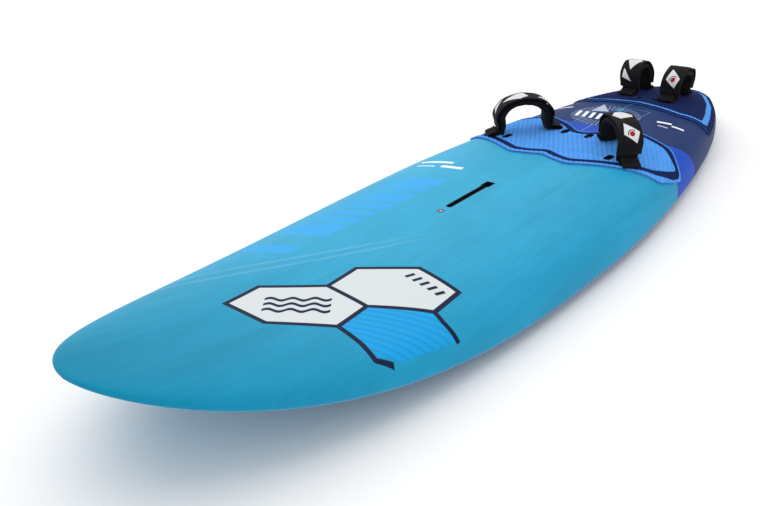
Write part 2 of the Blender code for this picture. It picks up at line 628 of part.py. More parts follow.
def build_strap_screw(name, x, y, foot, parts, cutters, looks):
    """A round-headed screw, straight down through the foot and the pad into the insert's middle hole."""
    seat = deck_height(x, y) + PAD_SURFACE + FOOT_THICKNESS - SCREW_BED
    profile = [
        (0.0, SCREW_HEAD_HEIGHT), (SCREW_CROWN_RADIUS, SCREW_HEAD_HEIGHT), (SCREW_HEAD_RADIUS, SCREW_HEAD_RIM),
        (SCREW_HEAD_RADIUS, 0.0), (SCREW_SHANK_RADIUS, 0.0), (SCREW_SHANK_RADIUS, -SCREW_SHANK_LENGTH),
        (0.0, -SCREW_SHANK_LENGTH - SCREW_TIP),
    ]
    screw = turned(name, profile, parts, looks["black_steel"], SMALL_TURNED_STEPS)
    screw.location = (x, y, seat)
    bpy.context.view_layer.update()
    driving_slot(screw, SCREW_DRIVE_LENGTH, SCREW_DRIVE_WIDTH, SCREW_DRIVE_DEPTH, SCREW_HEAD_HEIGHT, cutters)
    clearance = circle(x, y, SCREW_SHANK_RADIUS + 2 * GAP, 8)
    seat_hole = circle(x, y, SCREW_HEAD_RADIUS + 2 * GAP, SMALL_TURNED_STEPS)
    sink_through([foot], clearance, seat - CUT_PAST, seat + CUT_PAST, f"{name}_clearance", cutters)
    sink_through([foot], seat_hole, seat - GAP, seat + CUT_PAST, f"{name}_seat", cutters)


# ---------------------------------------------------------------------------- assembly
def make_looks():
    return {
        "eps_foam": material("eps_foam", (0.90, 0.91, 0.90), 0.8),
        "pvc_foam": material("pvc_foam", (0.72, 0.66, 0.38), 0.8),
        "deck": material("deck_paint", (0.04, 0.40, 0.60), 0.45),
        "bottom": material("bottom_paint", (0.05, 0.36, 0.56), 0.3),
        "black_plastic": material("black_plastic", (0.015, 0.015, 0.017), 0.5),
        "vent_plastic": material("vent_plastic", (0.03, 0.05, 0.08), 0.45),
        "white_plastic": material("white_plastic", (0.85, 0.85, 0.83), 0.4),
        "brass": material("brass", (0.70, 0.42, 0.20), 0.3, 1.0),
        "steel": material("stainless_steel", (0.60, 0.60, 0.62), 0.3, 1.0),
        "black_steel": material("blackened_steel", (0.03, 0.03, 0.033), 0.4, 1.0),
        "sky_eva": material("sky_foam_sheet", (0.10, 0.38, 0.86), 0.85),
        "navy_eva": material("navy_foam_sheet", (0.01, 0.03, 0.13), 0.85),
        "webbing": material("black_webbing", (0.012, 0.012, 0.014), 0.8),
        "neoprene": material("black_neoprene", (0.018, 0.018, 0.022), 0.75),
    }


def main():
    clear_scene()
    parts = new_collection("windsurf_board")
    cutters = new_collection("cutters")
    looks = make_looks()

    core, deck, bottom = build_hull(parts, cutters, looks)
    under_skin = hide_cutter(hull_solid("under_skin_limit", SKIN + GAP, TIP_SOLID, cutters))
    flush = hide_cutter(hull_solid("flush_limit", 0.0, END_OVERSHOOT, cutters))
    pad_surface = hide_cutter(hull_solid("pad_surface_limit", -PAD_SURFACE - GAP, END_OVERSHOOT, cutters))

    build_mast_track(core, deck, under_skin, parts, cutters, looks)
    build_vent(core, deck, parts, cutters, looks)
    build_fin_box(core, bottom, under_skin, parts, cutters, looks)

    pad_holes = {"front": [], "rear": []}
    for side_name, side in SIDES.items():
        for spot, (x, y) in SPARE_INSERTS.items():
            group = spot.split("_")[0]
            name = f"{spot}_{side_name}_spare_insert"
            build_insert(name, x, side * y, core, deck, flush, parts, cutters, looks)
            pad_holes[group].append(
                stadium(x, side * y, INSERT_LENGTH + PAD_CUTOUT_MARGIN, INSERT_WIDTH + PAD_CUTOUT_MARGIN, 3)
            )
        for group, legs in STRAP_LEGS.items():
            prefix = f"{group}_{side_name}"
            frame, half_span = strap_frame(list(legs.values()), side)
            build_strap(prefix, frame, half_span, parts, looks)
            for end, leg in zip((-1, 1), legs):
                foot = build_foot(f"{prefix}_{leg}_foot", frame, half_span, end, pad_surface, parts, looks)
                spot = frame @ Vector((end * (half_span + FOOT_SCREW_REACH), 0, 0))
                build_insert(f"{prefix}_{leg}_insert", spot.x, spot.y, core, deck, flush, parts, cutters,
                             looks)
                build_strap_screw(f"{prefix}_{leg}_screw", spot.x, spot.y, foot, parts, cutters, looks)
                pad_holes[group].append(circle(spot.x, spot.y, PAD_SCREW_HOLE_RADIUS))

    build_pad("front_pad", FRONT_PAD_LINE, "navy_eva", "sky_eva", pad_holes["front"], parts, cutters, looks)
    build_pad("rear_pad", REAR_PAD_LINE, "sky_eva", "navy_eva", pad_holes["rear"], parts, cutters, looks)


main()
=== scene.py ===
import functools
import json
import math

import bmesh
import bpy
import numpy as np
from mathutils import Matrix, Vector
from mathutils.geometry import delaunay_2d_cdt


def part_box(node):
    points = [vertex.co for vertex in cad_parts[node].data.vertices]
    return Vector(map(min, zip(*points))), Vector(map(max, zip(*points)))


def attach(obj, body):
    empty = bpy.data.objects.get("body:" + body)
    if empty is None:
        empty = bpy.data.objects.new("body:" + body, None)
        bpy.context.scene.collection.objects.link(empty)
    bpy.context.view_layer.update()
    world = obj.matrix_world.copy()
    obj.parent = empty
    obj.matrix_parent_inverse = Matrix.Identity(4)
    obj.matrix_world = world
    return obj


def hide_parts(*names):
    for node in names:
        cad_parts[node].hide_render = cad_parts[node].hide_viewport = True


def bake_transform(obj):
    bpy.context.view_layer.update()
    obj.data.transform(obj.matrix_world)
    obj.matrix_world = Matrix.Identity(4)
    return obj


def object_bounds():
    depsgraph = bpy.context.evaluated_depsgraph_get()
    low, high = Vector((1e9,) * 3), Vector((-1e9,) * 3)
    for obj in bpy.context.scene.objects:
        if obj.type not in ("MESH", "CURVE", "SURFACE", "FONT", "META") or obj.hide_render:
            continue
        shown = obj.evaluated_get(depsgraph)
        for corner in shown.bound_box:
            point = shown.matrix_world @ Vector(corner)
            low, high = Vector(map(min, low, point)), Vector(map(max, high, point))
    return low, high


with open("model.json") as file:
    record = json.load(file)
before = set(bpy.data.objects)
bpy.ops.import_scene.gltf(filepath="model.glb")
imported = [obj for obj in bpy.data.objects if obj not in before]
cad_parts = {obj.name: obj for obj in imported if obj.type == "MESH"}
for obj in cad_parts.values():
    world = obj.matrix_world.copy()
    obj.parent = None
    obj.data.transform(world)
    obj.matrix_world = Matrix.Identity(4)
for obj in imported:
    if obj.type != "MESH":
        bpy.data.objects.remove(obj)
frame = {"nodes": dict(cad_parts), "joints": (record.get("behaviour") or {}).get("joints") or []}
CAD_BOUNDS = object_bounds()
NODES = frame["nodes"]
TAU = 2 * math.pi

# ---------------------------------------------------------------- sizes that the solids have, in metres
LENGTH, WIDTH, THICKNESS, WIDE_POINT = 2.35, 0.663, 0.142, 0.047
NOSE_POWER, NOSE_ROUND, TAIL_POWER, TAIL_ROUND = 2.77, 0.507, 1.565, 0.533
NOSE_ROCKER, NOSE_ROCKER_POWER, TAIL_ROCKER, TAIL_ROCKER_POWER = 0.202, 2.98, 0.0104, 3.0
NOSE_THINNING, NOSE_THINNING_POWER, TAIL_THINNING, TAIL_THINNING_POWER = 0.904, 2.2, 0.577, 5.0
ROUNDED_WIDTH, RAIL_HEIGHT = 0.12, 0.203
SECTION_WIDE_POWER, SECTION_HIGH_POWER = 1 / 0.275, 0.375
SKIN, GAP, TIP_SOLID = 0.003, 0.0003, 0.010
PAD_LIFT, PAD_BASE, PAD_TOP = 0.0006, 0.003, 0.002
TOP_LIFT = PAD_LIFT + PAD_BASE + GAP
PAD_SURFACE = TOP_LIFT + PAD_TOP
FRONT_GROOVE, REAR_GROOVE, REAR_MARGIN = 0.0185, 0.0155, 0.012
CUTOUT_MARGIN = 0.0005
SLOT_FRONT, SLOT_REAR, SLOT_WIDTH = 0.237, 0.066, 0.0095
KEYHOLE_LENGTH, KEYHOLE_WIDTH = 0.026, 0.018
FIN_BOX_X, FIN_SLOT_LENGTH, FIN_SLOT_WIDTH = -0.90, 0.250, 0.0096
FIN_ENTRY_REAR, FIN_ENTRY = -0.797, 0.0156
CUT_MARGIN = 0.0005
STRAP_LEG_HEIGHT, LEAN_AXIS_HEIGHT = 0.046, 0.030
WEBBING_WIDTH, WEBBING, LOOP_PAD_WIDTH, LOOP_PAD = 0.046, 0.0025, 0.057, 0.016
FOOT_WEBBING, STITCH_PITCH = 0.0036, 0.0042
LEAN_START, BLEND_HEIGHTS = 0.012, (0.004, 0.044)  # over the pad
COVER_WIDTH, COVER, COVER_LIFT, COVER_START = 0.060, 0.003, 0.00435, 0.024
COVER_THINNED, COVER_STEPS = 0.0006, 22
# each loop's height, how far its crest sags and where along the span, where its folds fall,
# how far it sits from its place, how far its crest leans, both as (x, y), how much its span is drawn in,
# how far it turns in plan, and how plump its padding is at the shoulders
SOFT_SHAPES = {
    "front_port": (0.0965, 0.0015, 0.0, 0.3, (0.006, 0.005), (-0.002, 0.003), 1.05, 0.0, 0.0),
    "front_starboard": (0.1035, 0.0, 0.0, 1.7, (0.0, 0.003), (0.0, 0.0), 1.0, 0.0, 0.32),
    "rear_port": (0.1015, 0.0085, 0.25, 2.9, (0.003, -0.005), (0.0, 0.009), 1.0, 0.0, 0.1),
    "rear_starboard": (0.1030, 0.0025, 0.0, 4.1, (0.002, -0.007), (0.006, -0.009), 0.93, 4.5, 0.1),
}
FRONT_PAD_LINE = [
    (-0.190, 0.0), (-0.172, 0.038), (-0.162, 0.080), (-0.196, 0.145), (-0.231, 0.210), (-0.266, 0.262),
    (-0.311, 0.281), (-0.357, 0.281), (-0.420, 0.228), (-0.430, 0.190), (-0.446, 0.138), (-0.402, 0.062),
    (-0.364, 0.018), (-0.362, 0.0),
]
# how far the front pad's outer edge stands off each corner of its groove: narrow along the aft side
FRONT_PAD_EDGE = [0.021, 0.021, 0.022, 0.020, 0.022, 0.029, 0.013, 0.0125] + [0.0125] * 6
# the forward corner of the front pad's field reaches further out than the groove's width leaves
FIELD_CORNER, FIELD_CORNER_REACH = 7, 0.008
REAR_PAD_LINE = [
    (-0.735, 0.0), (-0.718, 0.070), (-0.700, 0.138), (-0.733, 0.203), (-0.812, 0.182), (-0.916, 0.146),
    (-1.020, 0.088), (-1.050, 0.040), (-1.056, 0.0),
]
GROOVE_ANGLE = math.radians(30)
GROOVE_PITCH, CROSS_PITCH = 0.0125, 0.0170
GROOVE_HALF, GROOVE_DEPTH, CROSS_DEPTH = 0.0021, 0.0013, 0.0010
EDGE_ROUND, EDGE_STEP, PLAIN_STEP, SCREW_HOLE = 0.0009, 0.004, 0.008, 0.006


# ---------------------------------------------------------------- camera
CAMERA_AZIMUTH, CAMERA_ELEVATION, CAMERA_ROLL = math.radians(132.512), math.radians(27.0), -0.0509
CAMERA_DISTANCE, CAMERA_TARGET = 1.8117, Vector((0.387, -0.0799, 0.06))
FOCAL_PIXELS, IMAGE_WIDTH = 804.08, 760


def make_camera():
    back = Vector((
        math.sin(CAMERA_AZIMUTH) * math.cos(CAMERA_ELEVATION),
        -math.cos(CAMERA_AZIMUTH) * math.cos(CAMERA_ELEVATION),
        math.sin(CAMERA_ELEVATION),
    ))
    right = (-back).cross(Vector((0, 0, 1))).normalized()
    up = right.cross(-back)
    turned_right = right * math.cos(CAMERA_ROLL) + up * math.sin(CAMERA_ROLL)
    turned_up = up * math.cos(CAMERA_ROLL) - right * math.sin(CAMERA_ROLL)
    data = bpy.data.cameras.new("camera")
    data.sensor_width = 36
    data.lens = 36 * FOCAL_PIXELS / IMAGE_WIDTH
    data.clip_end = 100
    camera = bpy.data.objects.new("camera", data)
    bpy.context.scene.collection.objects.link(camera)
    turn = Matrix((turned_right, turned_up, back)).transposed().to_4x4()
    camera.matrix_world = Matrix.Translation(CAMERA_TARGET + back * CAMERA_DISTANCE) @ turn
    bpy.context.scene.camera = camera


# ---------------------------------------------------------------- hull shape
def hull_at(x):
    """Half width, height of the bottom and thickness of the hull at stations."""
    x = np.asarray(x, float)
    forward = np.clip((x - WIDE_POINT) / (LENGTH / 2 - WIDE_POINT), 0, 1)
    aft = np.clip((WIDE_POINT - x) / (LENGTH / 2 + WIDE_POINT), 0, 1)
    nose = (1 - forward**NOSE_POWER) ** NOSE_ROUND
    tail = (1 - aft**TAIL_POWER) ** TAIL_ROUND
    half_width = WIDTH / 2 * nose * tail
    bottom = NOSE_ROCKER * forward**NOSE_ROCKER_POWER + TAIL_ROCKER * aft**TAIL_ROCKER_POWER
    thin = (1 - NOSE_THINNING * forward**NOSE_THINNING_POWER) * (1 - TAIL_THINNING * aft**TAIL_THINNING_POWER)
    rounding = np.sin(np.minimum(1.0, half_width / ROUNDED_WIDTH) * math.pi / 2) ** 0.5
    return half_width, bottom, THICKNESS * thin * rounding


def section_height(across):
    return (1 - np.minimum(1.0, np.abs(across)) ** SECTION_WIDE_POWER) ** SECTION_HIGH_POWER


def deck_height(x, y):
    half_width, bottom, thickness = hull_at(x)
    rail = bottom + RAIL_HEIGHT * thickness
    return rail + (1 - RAIL_HEIGHT) * thickness * section_height(y / np.maximum(half_width, 1e-6))


def deck_points(x, y, lift):
    """Points over the deck, a lift away from it along its normal."""
    step = 1e-4
    z = deck_height(x, y)
    slope_x = (deck_height(x + step, y) - deck_height(x - step, y)) / (2 * step)
    slope_y = (deck_height(x, y + step) - deck_height(x, y - step)) / (2 * step)
    normal = np.stack([-slope_x, -slope_y, np.ones_like(z)], -1)
    normal /= np.linalg.norm(normal, axis=-1, keepdims=True)
    return np.stack([x, y, z], -1) + normal * np.asarray(lift)[..., None]


# ---------------------------------------------------------------- meshes
def make_object(name, points, faces, finish, smooth_angle=40.0, merge=False):
    mesh = bpy.data.meshes.new(name)
    mesh.from_pydata([tuple(map(float, p)) for p in points], [], faces)
    bm = bmesh.new()
    bm.from_mesh(mesh)
    if merge:
        bmesh.ops.remove_doubles(bm, verts=bm.verts, dist=1e-6)
    bmesh.ops.recalc_face_normals(bm, faces=bm.faces)
    bm.to_mesh(mesh)
    bm.free()
    mesh.materials.append(finish)
    mesh.shade_smooth()
    mesh.set_sharp_from_angle(angle=math.radians(smooth_angle))
    obj = bpy.data.objects.new(name, mesh)
    bpy.context.scene.collection.objects.link(obj)
    return obj


def grid_faces(rows, columns, start=0, closed=False):
    """Quads between rows of points, and round each row where it is closed."""
    faces = []
    for i in range(rows - 1):
        for j in range(columns if closed else columns - 1):
            k = (j + 1) % columns
            a, b = start + i * columns, start + (i + 1) * columns
            faces.append((a + j, a + k, b + k, b + j))
    return faces


def tube_faces(rows, columns, start=0):
    """A closed row's quads, with a cap at each end."""
    caps = [tuple(range(start + row * columns, start + (row + 1) * columns)) for row in (0, rows - 1)]
    return grid_faces(rows, columns, start, True) + caps


def slopes(line):
    """The direction of a line in its plane at each of its points."""
    tangent = np.gradient(line, axis=0)
    return tangent / np.linalg.norm(tangent, axis=1, keepdims=True)


def run_along(line):
    return np.concatenate([[0], np.cumsum(np.linalg.norm(np.diff(line, axis=0), axis=1))])


def apply_modifiers(obj):
    evaluated = obj.evaluated_get(bpy.context.evaluated_depsgraph_get())
    mesh = bpy.data.meshes.new_from_object(evaluated)
    obj.modifiers.clear()
    obj.data = mesh


def cut(obj, outlines, low, high):
    """Cuts straight pockets from a low to a high level, given as outlines that don't overlap."""
    points, faces = [], []
    for outline in outlines:
        faces += tube_faces(2, len(outline), len(points))
        points += [(x, y, z) for z in (low, high) for x, y in outline]
    cutter = make_object("cutter", points, faces, obj.data.materials[0], merge=True)
    modifier = obj.modifiers.new("Cut", "BOOLEAN")
    modifier.operation = "DIFFERENCE"
    modifier.object = cutter
    modifier.solver = "EXACT"
    apply_modifiers(obj)
    bpy.data.objects.remove(cutter)
    obj.data.shade_smooth()
    obj.data.set_sharp_from_angle(angle=math.radians(30))


# ---------------------------------------------------------------- outlines
def mirrored_outline(port_half):
    return port_half + [(x, -y) for x, y in port_half[-2:0:-1]]


def grown(outline, distance):
    """The outline moved outwards, or inwards where the distance is negative."""
    points = np.array(outline)
    before = points - np.roll(points, 1, 0)
    after = np.roll(points, -1, 0) - points
    area = (points[:, 0] * np.roll(points[:, 1], -1) - np.roll(points[:, 0], -1) * points[:, 1]).sum()
    normals = []
    for d in (before, after):
        normal = np.stack([d[:, 1], -d[:, 0]], -1)
        normals.append(normal / np.linalg.norm(normal, axis=1, keepdims=True))
    middle = normals[0] + normals[1]
    middle /= np.linalg.norm(middle, axis=1, keepdims=True)
    reach = distance * np.sign(area) / np.maximum(0.35, (middle * normals[0]).sum(1))
    return [tuple(p) for p in points + middle * reach[:, None]]


def rounded(outline, most=0.007, rounds=2):
    """The outline with its corners cut back, twice."""
    points = np.array(outline)
    for _ in range(rounds):
        after = np.roll(points, -1, 0) - points
        length = np.linalg.norm(after, axis=1, keepdims=True)
        share = np.minimum(0.3, most / length)
        points = np.stack([points + after * share, points + after * (1 - share)], 1).reshape(-1, 2)
        most = most * 0.4
    return [tuple(p) for p in points]


def resampled(outline, step):
    """Points no further apart than a step along a closed outline."""
    found = []
    for a, b in zip(outline, outline[1:] + outline[:1]):
        count = max(1, round(math.dist(a, b) / step))
        found += [(a[0] + (b[0] - a[0]) * i / count, a[1] + (b[1] - a[1]) * i / count) for i in range(count)]
    return found


def stadium(x, y, length, width, end_steps=8):
    radius, reach, points = width / 2, (length - width) / 2, []
    for end, start in ((1, -math.pi / 2), (-1, math.pi / 2)):
        for i in range(end_steps + 1):
            turn = start + math.pi * i / end_steps
            points.append((x + end * reach + radius * math.cos(turn), y + radius * math.sin(turn)))
    return points


def middle_of(name):
    """The middle of a node's box in plan."""
    low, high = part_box(name)
    return (low[0] + high[0]) / 2, (low[1] + high[1]) / 2


def around_box(name, extra):
    """The stadium outline round a node's box."""
    low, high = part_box(name)
    return stadium(*middle_of(name), high[0] - low[0] + extra, high[1] - low[1] + extra)


def circle(x, y, radius, steps=32):
    turns = [TAU * i / steps for i in range(steps)]
    return [(x + radius * math.cos(turn), y + radius * math.sin(turn)) for turn in turns]


def slot_with_window(x, length, width, window_rear, window_length, window_width):
    window_front = window_rear + window_length
    points = stadium(x, 0, length, width)
    front = [point for point in points if point[0] > window_front]
    rear = [point for point in points if point[0] < window_rear]
    port = [(window_front, width / 2), (window_front, window_width / 2), (window_rear, window_width / 2)]
    if rear:
        port.append((window_rear, width / 2))
    return front + port + rear + [(a, -b) for a, b in reversed(port)]


def inside(points, outline):
    """Which points lie inside an outline."""
    x, y = points[:, 0], points[:, 1]
    found = np.zeros(len(points), bool)
    for (ax, ay), (bx, by) in zip(outline, outline[1:] + outline[:1]):
        crosses = (ay > y) != (by > y)
        at = ax + (y - ay) * (bx - ax) / (by - ay if by != ay else 1e-12)
        found ^= crosses & (x < at)
    return found


def distance_to(points, outline):
    """Distance from points to the nearest edge of an outline."""
    best = np.full(len(points), 1e9)
    for a, b in zip(outline, outline[1:] + outline[:1]):
        a, b = np.array(a), np.array(b)
        d = b - a
        t = np.clip(((points - a) @ d) / max(1e-12, d @ d), 0, 1)
        best = np.minimum(best, np.linalg.norm(points - a - t[:, None] * d, axis=1))
    return best


# ---------------------------------------------------------------- materials
def srgb(red, green, blue):
    """A linear colour from the usual 0 to 255 numbers."""
    shares = (value / 255 for value in (red, green, blue))
    return tuple(c / 12.92 if c <= 0.04045 else ((c + 0.055) / 1.055) ** 2.4 for c in shares)


PAINT_EDGE = 0.0004  # half the width over which a painted edge fades


class Value:
    """A node's output, which takes the usual signs for sums and adds the nodes that work them out."""

    def __init__(self, look, socket):
        self.look, self.socket = look, socket

    def __add__(self, other):
        return self.look.maths("ADD", self, other)

    def __sub__(self, other):
        return self.look.maths("SUBTRACT", self, other)

    def __rsub__(self, other):
        return self.look.maths("SUBTRACT", other, self)

    def __mul__(self, other):
        return self.look.maths("MULTIPLY", self, other)

    def __abs__(self):
        return self.look.maths("ABSOLUTE", self)

    def between(self, low, high, to_low=0.0, to_high=1.0):
        """The value mapped from one range to another, and held at its ends."""
        return self.look.node("ShaderNodeMapRange", {0: self, 1: low, 2: high, 3: to_low, 4: to_high})


class Look:
    """A Principled material and short ways to add nodes to it."""

    def __init__(self, name, roughness=0.5, metallic=0.0, space="Object", **sockets):
        self.material = bpy.data.materials.new(name)
        self.material.use_nodes = True
        self.tree = self.material.node_tree
        self.shader = self.tree.nodes["Principled BSDF"]
        for socket, value in {"Roughness": roughness, "Metallic": metallic, **sockets}.items():
            self.shader.inputs[socket.replace("_", " ")].default_value = value
        self.where = self.node("ShaderNodeTexCoord", out=("Generated", "Normal", "UV", "Object").index(space))
        split = self.node("ShaderNodeSeparateXYZ", {0: self.where}).socket.node
        self.x, self.y = Value(self, split.outputs[0]), Value(self, split.outputs[1])
        # the point in plan with 1 as its third number, so that one dot product is a distance to a line
        self.plan = self.node("ShaderNodeCombineXYZ", {0: self.x, 1: self.y, 2: 1.0})

    def node(self, kind, inputs=(), out=0, **settings):
        made = self.tree.nodes.new(kind)
        for key, value in settings.items():
            setattr(made, key, value)
        for key, value in dict(inputs).items():
            self.feed(made.inputs[key], value)
        return Value(self, made.outputs[out])

    def feed(self, socket, value):
        if isinstance(value, Value):
            self.tree.links.new(value.socket, socket)
        elif socket.type == "RGBA":
            socket.default_value = (*value, 1)
        else:
            socket.default_value = value

    def maths(self, operation, *values):
        return self.node("ShaderNodeMath", enumerate(values), operation=operation)

    def largest(self, values):
        return functools.reduce(lambda a, b: self.maths("MAXIMUM", a, b), values)

    def smallest(self, values):
        return functools.reduce(lambda a, b: self.maths("MINIMUM", a, b), values)

    def wave(self, value, pitch):
        """A sine that comes round once in each pitch."""
        return self.maths("SINE", value * (TAU / pitch))

    def length(self, x, y):
        return self.maths("SQRT", x * x + y * y)

    def noise(self, scale, detail=2.0, roughness=0.5, stretch=(1.0, 1.0, 1.0)):
        where = self.node("ShaderNodeVectorMath", {0: self.where, 1: stretch}, operation="MULTIPLY")
        inputs = {"Vector": where, "Scale": scale, "Detail": detail, "Roughness": roughness}
        return self.node("ShaderNodeTexNoise", inputs)

    def mix(self, share, first, second):
        inputs = {0: share, 6: first, 7: second}
        return self.node("ShaderNodeMix", inputs, 2, data_type="RGBA")

    def toned(self, colour, factor):
        """The colour made lighter or darker by a factor."""
        return self.node("ShaderNodeVectorMath", {0: colour, 3: factor}, operation="SCALE")

    def blotched(self, share, colour, factor, lift=0.0):
        """The colour with a lighter or darker one mixed in."""
        return self.mix(share, colour, tuple(c * factor + lift for c in colour))

    def colour(self, value):
        self.feed(self.shader.inputs["Base Color"], value)

    def roughness(self, value):
        self.feed(self.shader.inputs["Roughness"], value)

    def bump(self, height, distance, strength=1.0, normal=None):
        inputs = {"Height": height, "Distance": distance, "Strength": strength}
        if normal is not None:
            inputs["Normal"] = normal
        made = self.node("ShaderNodeBump", inputs)
        self.feed(self.shader.inputs["Normal"], made)
        return made

    def beyond(self, a, b):
        """How far a point lies to the right of the line from a to b."""
        dx, dy = b[0] - a[0], b[1] - a[1]
        length = math.hypot(dx, dy)
        nx, ny = dy / length, -dx / length
        line = (nx, ny, -(nx * a[0] + ny * a[1]))
        return self.node("ShaderNodeVectorMath", {0: self.plan, 1: line}, out=1, operation="DOT_PRODUCT")

    def polygon(self, corners):
        """How far a point lies outside a convex polygon, less than 0 inside. It may go either way round."""
        pairs = list(zip(corners, corners[1:] + corners[:1]))
        if sum(a[0] * b[1] - b[0] * a[1] for a, b in pairs) < 0:
            pairs = [(b, a) for a, b in pairs]
        return self.largest([self.beyond(a, b) for a, b in pairs])

    def bar(self, a, b, width):
        """How far a point lies outside a straight stroke from a to b."""
        scale = width / 2 / math.hypot(b[0] - a[0], b[1] - a[1])
        ox, oy = (a[1] - b[1]) * scale, (b[0] - a[0]) * scale
        return self.polygon([(x + s * ox, y + s * oy) for (x, y), s in ((a, 1), (a, -1), (b, -1), (b, 1))])

    def paint(self, colour, distance, over, share=1.0):
        """Colour laid over another one, inside the shape where a distance is less than 0."""
        return self.mix(distance.between(PAINT_EDGE, -PAINT_EDGE, 0.0, share), over, colour)

    def strokes(self, colour, bars, over):
        """Straight strokes laid over a colour. Each has a start, an end and a width."""
        for start, end, width in bars:
            over = self.paint(colour, self.bar(start, end, width), over)
        return over


NAVY_LINE, WHITE_PANEL, WHITE_MARK = srgb(16, 30, 60), srgb(212, 217, 220), srgb(246, 248, 252)
# the first colour on the next line is painted shade for the wells round the spare inserts
PAINTED_WELL_SHADE, RIM_BLACK = srgb(10, 12, 18), srgb(10, 12, 16)
HEX_ONE = [(0.839, -0.051), (0.753, -0.060), (0.666, 0.038), (0.675, 0.145), (0.760, 0.155), (0.839, 0.056)]
HEX_TWO = [(0.666, 0.038), (0.578, 0.030), (0.501, 0.127), (0.515, 0.233), (0.597, 0.239), (0.675, 0.145)]
HEX_THREE = [
    (0.675, 0.145), (0.597, 0.239), (0.606, 0.297), (0.646, 0.290),
    (0.731, 0.274), (0.763, 0.251), (0.765, 0.200), (0.760, 0.155),
]
# the dark strokes that run on from the white panels, round the open side of the striped one
PANEL_STROKES = [
    ((0.760, 0.153), (0.767, 0.222)), ((0.767, 0.219), (0.774, 0.255)), ((0.774, 0.252), (0.750, 0.272)),
    ((0.597, 0.237), (0.604, 0.264)), ((0.604, 0.262), (0.606, 0.299)),
]
OUTLINE = 0.0050  # half the width of the dark outlines
PALE_LINES = [((0.751, -0.179), (0.436, 0.007)), ((0.770, -0.154), (0.438, 0.031))]
# plain white strokes on the deck: start, end and width
WHITE_STROKES = [
    ((-0.590, 0.122), (-0.604, 0.160), 0.012), ((-0.590, 0.166), (-0.600, 0.198), 0.010),
    ((-0.563, 0.137), (-0.566, 0.165), 0.004), ((0.020, -0.250), (0.004, -0.158), 0.013),
    ((0.052, -0.240), (0.044, -0.188), 0.006), ((0.038, -0.172), (0.028, -0.112), 0.015),
    ((-0.600, -0.150), (-0.574, -0.215), 0.010),
]
SKY_BLOCKS = [
    (0.110, 0.203), (0.223, 0.281), (0.291, 0.331), (0.343, 0.372),
    (0.384, 0.424), (0.436, 0.506), (0.566, 0.612), (0.630, 0.660),
]

# on a strap's cover, as (run, across): three white patches, and the middle of the round mark
PATCHES = [
    [(-0.036, 0.0115), (-0.071, 0.0175), (-0.091, -0.0140), (-0.066, -0.0230)],
    [(0.056, 0.0), (0.012, 0.0235), (-0.012, 0.010), (-0.004, -0.0235), (0.006, -0.0255)],
    [(0.052, -0.0200), (0.078, -0.0225), (0.087, 0.0075)],
]
EMBLEM = (-0.0700, -0.0035)


def streaked(look, colour, spread=0.10):
    """Faint brushed streaks and clouds in a painted colour."""
    cloud = look.noise(3.0, 4.0, 0.6, (1.6, 5.0, 1.0))
    streak = look.noise(2.2, 3.0, 0.65, (1.0, 46.0, 1.0))
    return look.toned(colour, (cloud * 0.6 + streak * 0.4).between(0.34, 0.66, 1 - spread, 1 + spread))


def forward_paint(look):
    """Brushed blue, deeper to the nose, with painted shade to port, a painted highlight to starboard, soft
    sky-blue blocks and a pale double line.
    """
    x, y = look.x, look.y
    base = look.mix(x.between(0.50, 1.15), srgb(51, 162, 201), srgb(0, 134, 170))
    base = look.mix(x.between(-0.45, 0.35, 0.5, 0.0), base, srgb(46, 165, 203))
    # painted shade: darker towards the port side
    base = look.mix(y.between(0.05, 0.32, 0.0, 0.60), base, srgb(6, 142, 186))
    # painted highlight: lighter towards the starboard side
    base = look.mix(y.between(-0.04, -0.30, 0.0, 0.40), base, srgb(92, 190, 230))
    colour = streaked(look, base)

    row = x + (y + 0.11) * 0.35
    blocks = look.largest([
        row.between(rear - 0.004, rear + 0.006) * row.between(front + 0.006, front - 0.004)
        for rear, front in SKY_BLOCKS
    ])
    inner = look.beyond((0.105, -0.087), (0.645, -0.128))
    across = inner.between(0.0, 0.012) * inner.between(0.155, 0.080)
    along = x.between(0.100, 0.115) * x.between(0.665, 0.640)
    colour = look.mix(blocks * across * along * 0.62, colour, srgb(58, 170, 246))
    for start, end in PALE_LINES:
        stroke = abs(look.beyond(start, end)).between(0.0045, 0.0010, 0.0, 0.16)
        colour = look.mix(stroke * x.between(0.34, 0.52), colour, srgb(196, 224, 240))
    return colour


def panels(look, colour):
    """Two white six-sided panels with plain marks, and a striped one that is open to the rail."""
    stripe = look.wave(look.beyond((0, 0), (-0.5, 0.866)), 0.0150)
    bright = look.mix(stripe.between(-0.75, -0.15), srgb(26, 146, 204), srgb(20, 158, 226))
    colour = look.paint(bright, look.polygon(HEX_THREE), colour)
    colour = look.strokes(NAVY_LINE, [(*ends, 2 * OUTLINE) for ends in PANEL_STROKES], colour)
    for corners in (HEX_ONE, HEX_TWO):
        distance = look.polygon(corners)
        colour = look.paint(NAVY_LINE, distance - OUTLINE, colour)
        colour = look.paint(WHITE_PANEL, distance + OUTLINE, colour)
    # three wave lines on one, and a row of short bars on the other
    run = look.beyond((0.7555, 0.0485), (0.8310, 0.1140))
    height = look.beyond((0.821, -0.027), (0.690, 0.124)) + look.wave(run, 0.041) * 0.0050
    for offset in (-0.0215, 0.0, 0.0215):
        line = look.largest([abs(height - offset) - 0.0048, abs(run) - 0.0615])
        colour = look.paint(NAVY_LINE, line, colour)
    starts = [(0.5250 + 0.0025 * k, 0.135 + 0.020 * k) for k in range(5)]
    return look.strokes(NAVY_LINE, [((x, y), (x + 0.020, y - 0.007), 0.0085) for x, y in starts], colour)


def aft_paint(look, colour):
    """Royal blue, then slate to the tail, over the forward paint."""
    colour = look.paint(srgb(14, 72, 186), look.x + 0.342, colour)
    slant = look.largest([(abs(look.y) - 0.215) * 0.95, 0.0])
    return look.paint(streaked(look, srgb(16, 44, 100)), look.x + (slant + 0.452), colour)


